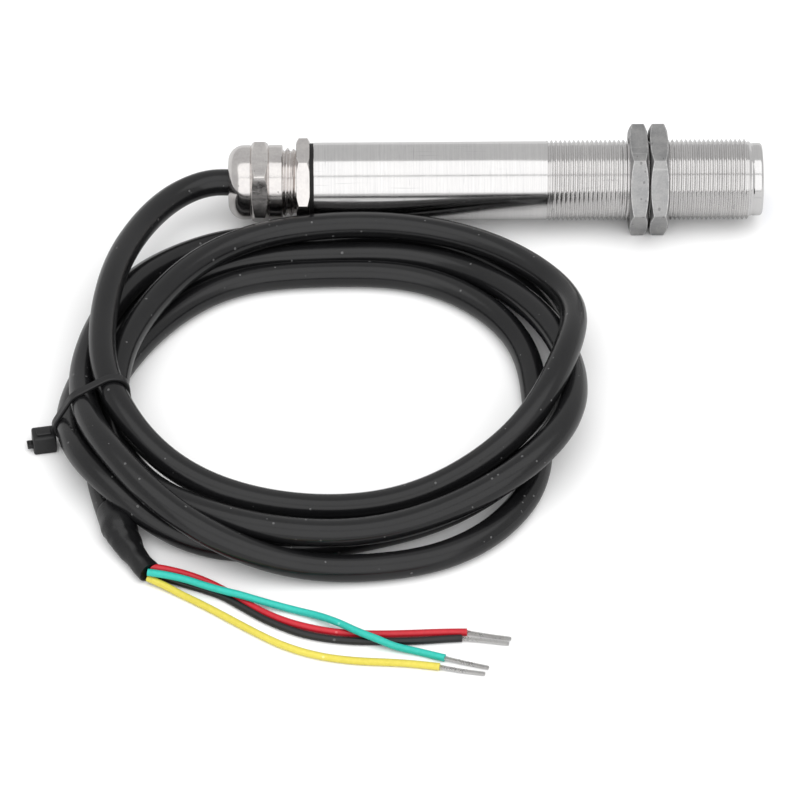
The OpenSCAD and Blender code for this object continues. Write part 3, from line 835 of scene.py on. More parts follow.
def thread_tree() -> bpy.types.NodeTree:
    """Builds the tree that makes a helical thread round the X axis.

    Four rows of points make each turn: the root's end, the crest's start and end, and the next
    root's start. The rows follow the helix from one turn before the front, and run out to a
    plain ring at both ends.

    Returns:
        The tree.
    """
    graph, takes, gives = new_group(
        "helical_thread", "GeometryNodeTree",
        {"Front": (NUMBER, 0.0), "Length": (NUMBER, 0.01), "Pitch": (NUMBER, 0.001),
         "Crest Radius": (NUMBER, 0.009), "Root Radius": (NUMBER, 0.008), "Front Radius": (NUMBER, 0.008),
         "Back Radius": (NUMBER, 0.008), "Run Out": (NUMBER, 0.001), "Turns": (COUNT, 10),
         "Sides": (COUNT, 96), "Material": (MATERIAL, None)}, {"Geometry": GEOMETRY})
    taken = takes.outputs
    rows = graph.math("MULTIPLY_ADD", taken["Turns"], 4.0, 1.0)
    grid = graph.add("GeometryNodeMeshGrid", {
        "Size X": graph.math("MULTIPLY", taken["Turns"], 4.0), "Size Y": math.tau,
        "Vertices X": rows, "Vertices Y": graph.math("ADD", taken["Sides"], 1.0)})
    parts = graph.split(graph.add("GeometryNodeInputPosition").outputs[0])
    half = graph.math("MULTIPLY", taken["Turns"], 2.0)
    row = graph.math("ROUND", graph.math("ADD", parts[0], half))
    turn = graph.math("ADD", parts[1], math.pi)
    step = graph.math("MODULO", row, 4.0)
    odd = graph.math("MODULO", row, 2.0)
    on_crest = graph.math("COMPARE", step, 1.5, 0.6)
    # A turn's rows are at 1/16, 7/16, 9/16 and 15/16 of it, so crest and root are 1/8 wide.
    shifted = graph.math("MULTIPLY_ADD", odd, 0.125, -0.9375)
    shifted = graph.math("ADD", shifted, graph.math("MULTIPLY", row, 0.25))
    wound = graph.math("SUBTRACT", shifted, graph.math("DIVIDE", turn, math.tau))
    loose = graph.math("MULTIPLY", wound, taken["Pitch"])
    along = graph.math("MINIMUM", graph.math("MAXIMUM", loose, 0.0), taken["Length"])
    high = graph.mix(on_crest, taken["Root Radius"], taken["Crest Radius"])
    from_back = graph.math("SUBTRACT", taken["Length"], along)
    back_in = graph.math("DIVIDE", from_back, taken["Run Out"], clamp=True)
    high = graph.mix(back_in, taken["Back Radius"], high)
    front_in = graph.math("DIVIDE", along, taken["Run Out"], clamp=True)
    high = graph.mix(front_in, taken["Front Radius"], high)
    place = graph.vector(graph.math("SUBTRACT", taken["Front"], along),
                         graph.math("MULTIPLY", high, graph.math("SINE", turn)),
                         graph.math("MULTIPLY", high, graph.math("COSINE", turn)))
    bent = graph.add("GeometryNodeSetPosition", {"Geometry": grid.outputs["Mesh"], "Position": place})
    sealed = graph.add("GeometryNodeMergeByDistance", {"Geometry": bent.outputs[0], "Distance": 0.002 * MM})
    finish_tree(graph, sealed.outputs[0], takes, gives)
    return graph.tree


@dataclass
class Thread:
    """A helical thread's sizes, and the rings that it runs out to at both ends."""

    front: float
    length: float
    pitch: float
    crest: float
    root: float
    front_ring: float
    back_ring: float
    run_out: float
    sides: int
    finish: str

    def grow(self) -> bpy.types.Mesh:
        """Grows the thread, an open sleeve.

        Returns:
            The mesh.
        """
        spare_turns = 2
        return grown_mesh(thread_tree(), {
            "Front": self.front, "Length": self.length, "Pitch": self.pitch, "Crest Radius": self.crest,
            "Root Radius": self.root, "Front Radius": self.front_ring, "Back Radius": self.back_ring,
            "Run Out": self.run_out, "Turns": round(self.length / self.pitch) + spare_turns,
            "Sides": self.sides, "Material": FINISHES[self.finish].make()})


def strand_tree() -> bpy.types.NodeTree:
    """Builds the tree that twists a bundle of thin strands along a curve.

    Returns:
        The tree.
    """
    graph, takes, gives = new_group(
        "twisted_strands", "GeometryNodeTree",
        {"Geometry": (GEOMETRY, None), "Bundle Radius": (NUMBER, 0.0003), "Strand Radius": (NUMBER, 0.0001),
         "Strands": (COUNT, 7), "Turns": (NUMBER, 3.0), "Rings": (COUNT, 40), "Material": (MATERIAL, None)},
        {"Geometry": GEOMETRY})
    taken = takes.outputs
    line = graph.add("GeometryNodeResampleCurve",
                     {"Curve": taken["Geometry"], "Count": taken["Rings"]}).outputs[0]
    part = graph.add("GeometryNodeSplineParameter").outputs["Factor"]
    tilt = graph.math("MULTIPLY", graph.math("MULTIPLY", part, taken["Turns"]), math.tau)
    line = graph.add("GeometryNodeSetCurveTilt", {"Curve": line, "Tilt": tilt}).outputs[0]
    hubs = graph.add("GeometryNodeCurvePrimitiveCircle",
                     {"Resolution": taken["Strands"], "Radius": taken["Bundle Radius"]}).outputs[0]
    hubs = graph.add("GeometryNodeCurveToPoints", {"Curve": hubs, "Count": taken["Strands"]}, mode="COUNT")
    ring = graph.add("GeometryNodeCurvePrimitiveCircle", {"Resolution": 6, "Radius": taken["Strand Radius"]})
    rings = graph.add("GeometryNodeInstanceOnPoints",
                      {"Points": hubs.outputs[0], "Instance": ring.outputs[0]})
    every = graph.add("GeometryNodeJoinGeometry")
    graph.feed(every.inputs[0], ring.outputs[0])
    graph.feed(every.inputs[0], graph.add("GeometryNodeRealizeInstances", {0: rings.outputs[0]}).outputs[0])
    mesh = graph.add("GeometryNodeCurveToMesh",
                     {"Curve": line, "Profile Curve": every.outputs[0], "Fill Caps": True})
    finish_tree(graph, mesh.outputs[0], takes, gives)
    return graph.tree


def teeth_tree() -> bpy.types.NodeTree:
    """Builds the tree that sets small teeth at even distances along a curve.

    Returns:
        The tree.
    """
    graph, takes, gives = new_group(
        "strap_teeth", "GeometryNodeTree",
        {"Geometry": (GEOMETRY, None), "Spacing": (NUMBER, 0.0008),
         "Tooth": (POSITION, (0.0004, 0.0015, 0.0002)), "Material": (MATERIAL, None)},
        {"Geometry": GEOMETRY})
    taken = takes.outputs
    points = graph.add("GeometryNodeCurveToPoints",
                       {"Curve": taken["Geometry"], "Length": taken["Spacing"]}, mode="LENGTH")
    tooth = graph.add("GeometryNodeMeshCube", {"Size": taken["Tooth"]}).outputs[0]
    rows = graph.add("GeometryNodeInstanceOnPoints", {
        "Points": points.outputs["Points"], "Instance": tooth, "Rotation": points.outputs["Rotation"]})
    finish_tree(graph, rows.outputs[0], takes, gives)
    return graph.tree


def path_curve(path: Iterable[Sequence[float]]) -> bpy.types.Curve:
    """Makes a straight-edged curve through points, for a tree to start from.

    Args:
        path: the points.

    Returns:
        The curve.
    """
    curve = bpy.data.curves.new("path", "CURVE")
    curve.dimensions = "3D"
    spline = curve.splines.new("POLY")
    points = list(path)
    spline.points.add(len(points) - 1)
    for knot, point in zip(spline.points, points):
        knot.co = (*map(float, point), 1.0)
    return curve


def joined(name: str, meshes: Sequence[bpy.types.Mesh], merge: float = 0.0) -> bpy.types.Mesh:
    """Joins meshes into one skin.

    Args:
        name: the new mesh's name.
        meshes: the parts.
        merge: points of different parts closer than this become one.

    Returns:
        The joined mesh, faces outwards.
    """
    work = bmesh.new()
    for part in meshes:
        work.from_mesh(part)
    mesh = bpy.data.meshes.new(name)
    work.to_mesh(mesh)
    work.free()
    return face_outwards(mesh, merge)


# ------------------------------------------------------------------ turned and hexagonal work


@dataclass
class Hexagon:
    """The outline of a hexagon with small round corners, round the X axis."""

    across: float
    first_corner: float
    rounding: float = 0.3 * MM

    def corner_reach(self) -> float:
        """Gives the distance from the axis to the centre of a corner's rounding."""
        return (self.across / 2 - self.rounding) / math.cos(math.pi / 6)

    def corner_half(self) -> float:
        """Gives the half angle that a rounded corner takes."""
        flat = self.corner_reach() * math.sin(math.pi / 6)
        return math.pi / 6 - math.atan2(flat, self.across / 2)

    def angles(self, flat_steps: int = 10) -> np.ndarray:
        """Gives angles from the top that catch every corner and divide every flat.

        Args:
            flat_steps: how many steps each flat has.

        Returns:
            The angles, in order.
        """
        half = self.corner_half()
        corner = np.linspace(-half, half, 5)
        flat = np.linspace(half, math.pi / 3 - half, flat_steps + 1)[1:-1]
        first = math.radians(self.first_corner)
        return np.concatenate([first + k * math.pi / 3 + np.r_[corner, flat] for k in range(6)])

    def radius(self, angle: float) -> float:
        """Gives how far the outline is from the axis.

        Args:
            angle: the angle from the top.

        Returns:
            The distance.
        """
        off = (angle - math.radians(self.first_corner) + math.pi / 6) % (math.pi / 3) - math.pi / 6
        if abs(off) >= self.corner_half():
            return self.across / 2 / math.cos(math.pi / 6 - abs(off))
        reach = self.corner_reach()
        return reach * math.cos(off) + math.sqrt(self.rounding ** 2 - (reach * math.sin(off)) ** 2)


class Turning:
    """Rings of points round the X axis that are joined into one skin."""

    def __init__(self, angles: np.ndarray) -> None:
        """Starts a skin.

        Args:
            angles: the angles from the top of every ring's points.
        """
        self.angles = angles
        self.rings: list[list[tuple[float, float, float]]] = []
        self.edges: list[float] = []

    def ring(self, x: Callable[[float], float], radius: Callable[[float], float], edge: float) -> None:
        """Adds a ring that needn't be round or flat.

        Args:
            x: the place along the axis from a point's radius.
            radius: the radius from the angle.
            edge: how strongly the ring wears as an edge.
        """
        points = []
        for angle in self.angles:
            reach = radius(angle)
            points.append((x(reach), reach * math.sin(angle), reach * math.cos(angle)))
            self.edges.append(edge)
        self.rings.append(points)

    def circle(self, x: float, radius: float, edge: float = 0.0) -> None:
        """Adds a round ring."""
        self.ring(lambda reach: x, lambda angle: radius, edge)

    def prism(self, front: float, back: float, shape: Hexagon, seat: float, slope: float,
              soften: float = 0.1 * MM) -> None:
        """Adds a hexagonal prism whose corners are turned off in a cone at both ends.

        Args:
            front: the front face's place.
            back: the back face's place, behind it.
            shape: the hexagon.
            seat: the radius where the cones start.
            slope: how far the cones fall back for each metre of radius.
            soften: the width of the rounding between a cone and a flat.
        """
        drop = soften * 0.6
        worn_band = 0.45 * MM
        for place, way, order in ((front, -1.0, 1), (back, 1.0, -1)):
            def cone(reach: float, fall: float, place: float = place, way: float = way) -> float:
                """Gives the cone's place at a radius, moved back by a fall."""
                return place + way * (max(0.0, reach - seat) * slope + fall)

            rings = [(lambda reach, cone=cone: cone(reach, 0.0),
                      lambda angle, step=step: seat + (shape.radius(angle) - soften - seat) * step, 0.0)
                     for step in np.linspace(0.0, 1.0, 4)]
            rings += [(lambda reach, cone=cone, fall=fall: cone(reach, fall), shape.radius, edge)
                      for fall, edge in ((drop, 1.0), (drop + worn_band, 0.0))]
            for row in rings[::order]:
                self.ring(*row)

    def mesh(self, name: str, loop: bool = True) -> bpy.types.Mesh:
        """Joins the rings.

        Args:
            name: the mesh's name.
            loop: True to join the last ring to the first.

        Returns:
            The mesh, with the attribute "edge" where corners wear.
        """
        count = len(self.angles)
        rows = len(self.rings)
        faces = [(i * count + k, i * count + (k + 1) % count,
                  (i + 1) % rows * count + (k + 1) % count, (i + 1) % rows * count + k)
                 for i in range(rows if loop else rows - 1) for k in range(count)]
        mesh = new_mesh(name, [point for ring in self.rings for point in ring], faces)
        mark(mesh, "edge", "FLOAT", np.array(self.edges))
        return mesh


@dataclass
class Barrel:
    """The sensor's metal tube: turned nose, long thread and smooth rear part."""

    length: float = 100 * MM
    pitch: float = 1 * MM
    crest_radius: float = 8.95 * MM
    root_radius: float = 8.35 * MM
    tube_radius: float = 8.75 * MM
    nose_radius: float = 8.1 * MM
    nose_length: float = 2.5 * MM
    nose_rounding: float = 0.7 * MM
    thread_length: float = 46 * MM
    bore_radius: float = 7.2 * MM
    mouth_set: float = 0.02 * MM
    mouth_depth: float = 0.1 * MM
    mouth_edge: float = 0.06 * MM
    groove: float = 0.25 * MM
    groove_depth: float = 0.12 * MM
    rear_edge: float = 0.1 * MM
    even_part: float = 0.98
    sides: int = 120

    def thread(self) -> bpy.types.Mesh:
        """Grows the helical thread between the nose and the smooth tube."""
        return Thread(-self.nose_length, self.thread_length, self.pitch, self.crest_radius, self.root_radius,
                      self.nose_radius, self.tube_radius, self.pitch, self.sides, "stainless_steel").grow()

    def skin(self) -> bpy.types.Mesh:
        """Turns the rest of the tube, from the thread's front round through the bore to its back.

        Returns:
            The skin, open where the thread goes.
        """
        turned = Turning(np.arange(self.sides) * math.tau / self.sides)
        for back, deep in ((0, 0.0), (1, self.groove_depth), (2, 0.0)):
            turned.circle(-self.nose_length + back * self.groove, self.nose_radius - deep)
        for step in np.linspace(0.0, math.pi / 2, 7):
            turned.circle(-self.nose_rounding * (1 - math.sin(step)),
                          self.nose_radius - self.nose_rounding * (1 - math.cos(step)), 0.4)
        turned.circle(-self.mouth_set, self.bore_radius + self.mouth_edge)
        turned.circle(-self.mouth_depth, self.bore_radius)
        turned.circle(-self.length, self.bore_radius)
        turned.circle(-self.length, self.tube_radius - self.rear_edge)
        turned.circle(-self.length + self.rear_edge, self.tube_radius)
        thread_back = self.nose_length + self.thread_length
        for part in (0.75, 0.5, 0.25, 0.0):
            turned.circle(-thread_back - (self.length - thread_back) * part * self.even_part, self.tube_radius)
        return turned.mesh("tube_skin", loop=False)

    def build(self) -> bpy.types.Object:
        """Joins the thread and the rest, and dresses them."""
        mesh = joined("threaded_barrel", [self.thread(), self.skin()], merge=SEAM)
        return piece("threaded_barrel", mesh, "stainless_steel", Body.HOUSING, ["barrel"], crease=24.0)


@dataclass
class JamNut:
    """A thin hexagonal nut with its corners turned off on both faces."""

    node: str
    body: Body
    across: float = 22 * MM
    bore_radius: float = 9.0 * MM
    seat_radius: float = 11.05 * MM
    slope: float = 0.4
    sink: float = 0.4 * MM

    def build(self) -> bpy.types.Object:
        """Builds the nut where its CAD node is.

        Returns:
            The nut.
        """
        low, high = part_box(self.node)
        shape = Hexagon(self.across, 30.0)
        turned = Turning(shape.angles(12))
        turned.circle(high.x - self.sink, self.bore_radius)
        turned.circle(high.x, self.bore_radius + self.sink, 0.3)
        turned.prism(high.x, low.x, shape, self.seat_radius, self.slope)
        turned.circle(low.x, self.bore_radius + self.sink, 0.3)
        turned.circle(low.x + self.sink, self.bore_radius)
        mesh = face_outwards(turned.mesh(self.node))
        return piece(self.node + "_machined", mesh, "nut_steel", self.body, [self.node], crease=20.0)


@dataclass
class CableGland:
    """The nickel-plated gland: a body with a ridged neck, and a domed cap that screws on it."""

    rear: float = -100 * MM
    across: float = 17 * MM
    gasket: float = 0.8 * MM
    body_hex: float = 3 * MM
    neck_crest: float = 7.6 * MM
    neck_root: float = 6.9 * MM
    neck_pitch: float = 1.39 * MM
    neck_turns: float = 5.5
    neck_sides: int = 72
    neck_undercut: tuple[float, float] = (0.2 * MM, 0.3 * MM)
    entry_length: float = 8 * MM
    entry_radius: float = 7.0 * MM
    entry_bore: float = 3.6 * MM
    body_bore: float = 5.25 * MM
    body_seat: float = 8.85 * MM
    body_slope: float = 0.55
    body_corner: float = -23.5
    cap_front: float = 6.9 * MM
    collar: float = 3.2 * MM
    cap_hex: float = 3.7 * MM
    cap_radius: float = 8.3 * MM
    dome: float = 5.2 * MM
    dome_rounding: float = 3.6 * MM
    exit_radius: float = 3.3 * MM
    exit_depth: float = 1.4 * MM
    exit_edge: float = 0.25 * MM
    cap_bore: float = 7.65 * MM
    cap_edge: float = 0.15 * MM
    cap_floor_radius: float = 6.0 * MM
    cap_floor_gap: float = 0.4 * MM
    cap_groove: float = 0.12 * MM
    cap_groove_width: float = 0.3 * MM
    cap_seat: float = 8.4 * MM
    cap_slope: float = 0.5
    cap_corner: float = -42.7

    @property
    def neck_back(self) -> float:
        """How far behind the barrel the neck ends."""
        return self.gasket + self.body_hex + self.neck_turns * self.neck_pitch

    def neck(self, front: float) -> bpy.types.Mesh:
        """Grows the neck's coarse thread.

        Args:
            front: how far behind the barrel the thread starts.

        Returns:
            The open sleeve of the thread.
        """
        return Thread(self.rear - front, self.neck_back - front, self.neck_pitch, self.neck_crest,
                      self.neck_root, self.neck_root, self.neck_root, self.neck_pitch * 0.6,
                      self.neck_sides, "nickel_plate").grow()

    def build_body(self) -> bpy.types.Object:
        """Builds the body: entry, hexagon and ridged neck.

        Returns:
            The body.
        """
        shape = Hexagon(self.across, self.body_corner)
        front = self.rear - self.gasket
        back = front - self.body_hex
        turned = Turning(shape.angles())
        turned.circle(self.rear + self.entry_length, self.entry_bore)
        turned.circle(self.rear + self.entry_length, self.entry_radius)
        turned.circle(front, self.entry_radius)
        turned.prism(front, back, shape, self.body_seat, self.body_slope)
        behind, inward = self.neck_undercut
        turned.circle(back, self.neck_root)
        turned.circle(back - behind, self.neck_root - inward)
        turned.circle(back - behind, self.entry_bore)
        hexagon = face_outwards(turned.mesh("gland_hexagon"))
        start = self.gasket + self.body_hex
        lining = Turning(np.arange(self.neck_sides) * math.tau / self.neck_sides)
        for place, radius in ((start, self.neck_root), (start, self.body_bore),
                              (self.neck_back, self.body_bore), (self.neck_back, self.neck_root)):
            lining.circle(self.rear - place, radius)
        neck = joined("neck", [self.neck(start), lining.mesh("neck_lining", loop=False)], merge=SEAM)
        mesh = joined("gland_body", [hexagon, neck])
        return piece("gland_body_plated", mesh, "nickel_plate", Body.HOUSING, ["gland_body"], crease=24.0)

    def build_cap(self) -> bpy.types.Object:
        """Builds the cap: collar, hexagon and dome round the cable's exit.

        Returns:
            The cap.
        """
        shape = Hexagon(self.across, self.cap_corner)
        front = self.rear - self.cap_front
        hex_front = front - self.collar
        hex_back = hex_front - self.cap_hex
        end = hex_back - self.dome
        inside = self.rear - self.neck_back - self.cap_floor_gap
        groove, width = self.cap_groove, self.cap_groove_width
        turned = Turning(shape.angles())
        turned.circle(end + self.exit_depth, self.exit_radius)
        turned.circle(inside, self.cap_floor_radius)
        turned.circle(inside, self.cap_bore)
        turned.circle(front, self.cap_bore)
        turned.circle(front, self.cap_radius - self.cap_edge, 0.5)
        turned.circle(front - self.cap_edge, self.cap_radius, 0.5)
        turned.circle(hex_front + width, self.cap_radius)
        turned.circle(hex_front + groove, self.cap_radius - groove)
        turned.circle(hex_front, self.cap_radius)
        turned.prism(hex_front, hex_back, shape, self.cap_seat, self.cap_slope)
        turned.circle(hex_back, self.cap_radius)
        turned.circle(hex_back - groove, self.cap_radius - groove)
        turned.circle(hex_back - width, self.cap_radius)
        for step in np.linspace(0.0, math.pi / 2, 12):
            turned.circle(end + self.dome_rounding * (1 - math.sin(step)),
                          self.cap_radius - self.dome_rounding * (1 - math.cos(step)))
        turned.circle(end, self.exit_radius + self.exit_edge, 0.5)
        turned.circle(end + self.exit_edge, self.exit_radius)
        mesh = face_outwards(turned.mesh("gland_cap"))
        return piece("gland_cap_plated", mesh, "nickel_plate", Body.GLAND_CAP, ["gland_cap"], crease=24.0)


# ------------------------------------------------------------------ cable, tie and cores


LEAD_ROUTE: Route = (
    (0, 0, 0), (-0.004, -0.0002, 0), (-0.008, -0.0019, 0), (-0.0113, -0.0047, 0.0001),
    (-0.015, -0.0092, 0.0004), (-0.0184, -0.015, 0.001), (-0.0212, -0.0215, 0.0017),
    (-0.0235, -0.0295, 0.0026), (-0.0252, -0.038, 0.0033), (-0.0262, -0.047, 0.0036),
)
# Each turn's radius, and its height over a cable that lies on the floor, every 30 degrees.
TURNS: Sequence[Sequence[tuple[float, float]]] = (
    ((0.049, 0.0115), (0.045, 0.008), (0.0395, 0.005), (0.036, 0.003), (0.037, 0.003), (0.044, 0.0095),
     (0.05, 0.0135), (0.057, 0.007), (0.0545, 0.0055), (0.051, 0.0055), (0.049, 0.006), (0.046, 0.0065)),
    ((0.047, 0.006), (0.0495, 0.004), (0.048, 0.0055), (0.0465, 0.0055), (0.046, 0.0055), (0.052, 0.0105),
     (0.0515, 0.0075), (0.0505, 0.004), (0.0505, 0.0005), (0.0475, 0), (0.05, 0), (0.0515, 0)),
    ((0.055, 0.0005), (0.057, 0.006), (0.0505, 0), (0.0435, 0), (0.0425, 0), (0.0485, 0.0055),
     (0.0505, 0.0015), (0.0545, 0), (0.0565, 0), (0.054, 0), (0.057, 0), (0.054, 0.005)),
    ((0.0535, 0.007), (0.054, 0.011), (0.0535, 0.007), (0.051, 0), (0.053, 0), (0.05, 0),
     (0.0445, 0), (0.045, 0), (0.044, 0), (0.0415, 0), (0.044, 0), (0.0455, 0)),
    ((0.049, 0), (0.0555, 0)),
)
TAIL_ROUTE: Route = ((-0.025, -0.0915, 0.003), (-0.0234, -0.0965, 0.0036), (-0.0219, -0.102, 0.0037))


@dataclass
class CoiledCable:
    """The cable: from the gland down to a tied coil of four turns and out to the sleeve."""

    exit: Vector
    centre: tuple[float, float] = (-0.096, -0.063)
    radius: float = 3 * MM
    sides: int = 20
    spacing: float = 3 * MM
    gap: float = 0.04 * MM
    tie_angle: float = 190.0
    tie_lift: float = 1.0 * MM
    tie_spread: float = 9.0
    heap_radius: float = 0.07
    push_width: float = 2.2
    push_gain: float = 1.6
    rounds: int = 260
    last_rounds: int = 20
    stiffness: float = 0.6
    barrel_clear: float = 8.9 * MM
    gland_clear: float = 9.97 * MM
    gland_start: float = -0.0995
    gland_end: float = -0.113
    free_points: int = 12
    held_points: int = 4

    def stations(self) -> np.ndarray:
        """Places the listed stations of the lead, the turns and the tail.

        Returns:
            The stations, in order.
        """
        turns = np.array([station for turn in TURNS for station in turn])
        angles = 180.0 + 30.0 * np.arange(len(turns))
        polar = smooth_curve(np.column_stack([angles, turns]), 3)
        turned = np.radians(polar[:, 0])
        coil = np.column_stack([self.centre[0] + polar[:, 1] * np.cos(turned),
                                self.centre[1] + polar[:, 1] * np.sin(turned),
                                FLOOR_Z + self.radius + polar[:, 2]])
        start = np.array(self.exit)
        tail = np.array(TAIL_ROUTE) + (start[0], start[1], FLOOR_Z)
        return np.vstack([np.array(LEAD_ROUTE) + start, coil, tail])

    def lift(self, path: np.ndarray) -> np.ndarray:
        """Gives how low each point may lie: the floor, or the tie's strap under the bundle.

        Args:
            path: the cable's points.

        Returns:
            The least height of each.
        """
        angle = np.degrees(np.arctan2(path[:, 1] - self.centre[1], path[:, 0] - self.centre[0])) % 360.0
        reach = np.hypot(path[:, 0] - self.centre[0], path[:, 1] - self.centre[1])
        near = np.exp(-0.5 * ((angle - self.tie_angle) / self.tie_spread) ** 2) * (reach < self.heap_radius)
        return FLOOR_Z + self.radius + self.tie_lift * near

    def pushed(self, path: np.ndarray, pairs: tuple[np.ndarray, np.ndarray]) -> np.ndarray:
        """Gives the push on each point from strands that are too close.

        Args:
            path: the cable's points.
            pairs: the points of different strands that may touch.

        Returns:
            A move for each point, spread along the cable as a stiff cable does.
        """
        first, second = pairs
        apart = path[second] - path[first]
        length = np.linalg.norm(apart, axis=1)
        close = length < 2 * self.radius + self.gap
        moves = np.zeros_like(path)
        if not close.any():
            return moves
        short = 2 * self.radius + self.gap - length[close]
        push = apart[close] * (0.5 * short / np.maximum(length[close], FLOAT_ERROR))[:, None]
        count = np.zeros(len(path))
        np.add.at(moves, first[close], -push)
        np.add.at(moves, second[close], push)
        np.add.at(count, first[close], 1)
        np.add.at(count, second[close], 1)
        moves /= np.maximum(count, 1)[:, None]
        kernel = np.exp(-0.5 * (np.arange(-6, 7) / self.push_width) ** 2)
        spread = np.stack([np.convolve(moves[:, axis], kernel, "same") for axis in range(3)], axis=1)
        weight = np.convolve((count > 0).astype(float), kernel, "same")
        return spread / np.maximum(weight, 1.0)[:, None] * self.push_gain

    def settled(self, path: np.ndarray) -> np.ndarray:
        """Lays the turns beside and on each other, on the floor and clear of the sensor.

        Args:
            path: the cable's points at even distances.

        Returns:
            The points at rest.
        """
        first, second = np.triu_indices(len(path), 8)
        far = distances(path)
        other = far[second] - far[first] > 8 * self.radius
        pairs = (first[other], second[other])
        start = path.copy()
        for turn in range(self.rounds):
            path = path + self.pushed(path, pairs)
            if turn < self.rounds - self.last_rounds:
                curve = (-path[:-4] + 4 * path[1:-3] - 6 * path[2:-2] + 4 * path[3:-1] - path[4:]) / 16
                path[2:-2] += self.stiffness * curve
            metal = np.where(path[:, 0] < self.gland_start, self.gland_clear, self.barrel_clear)
            clear = metal + self.radius
            reach = np.hypot(path[:, 1], path[:, 2])
            under = (path[:, 0] > self.gland_end) & (reach < clear)
            under[:self.free_points] = False
            path[under, 1:] *= (clear[under] / reach[under])[:, None]
            path[:, 2] = np.maximum(path[:, 2], self.lift(path))
            path[:self.held_points] = start[:self.held_points]
        return path

    def path(self) -> np.ndarray:
        """Gives the settled route from just inside the gland to the sleeve.

        Returns:
            The route's points.
        """
        route = self.settled(even_path(self.stations(), self.spacing))
        inside = np.array([[self.exit.x + 2 * MM, 0.0, 0.0]])
        return smooth_curve(np.vstack([inside, route]), 2)

    def build(self, path: np.ndarray) -> bpy.types.Object:
        """Sweeps the jacket, with the slight unevenness of an extruded cable.

        Args:
            path: the cable's points.

        Returns:
            The jacket.
        """
        far = distances(path)
        radii = self.radius * (0.992 + 0.006 * np.sin(far * 61.0) * np.sin(far * 23.0))
        mesh = swept_mesh("coiled_cable", path, radii, self.sides)
        return piece("coiled_cable", mesh, "jacket", Body.HOUSING, ["cable_lead", "cable_coil"])


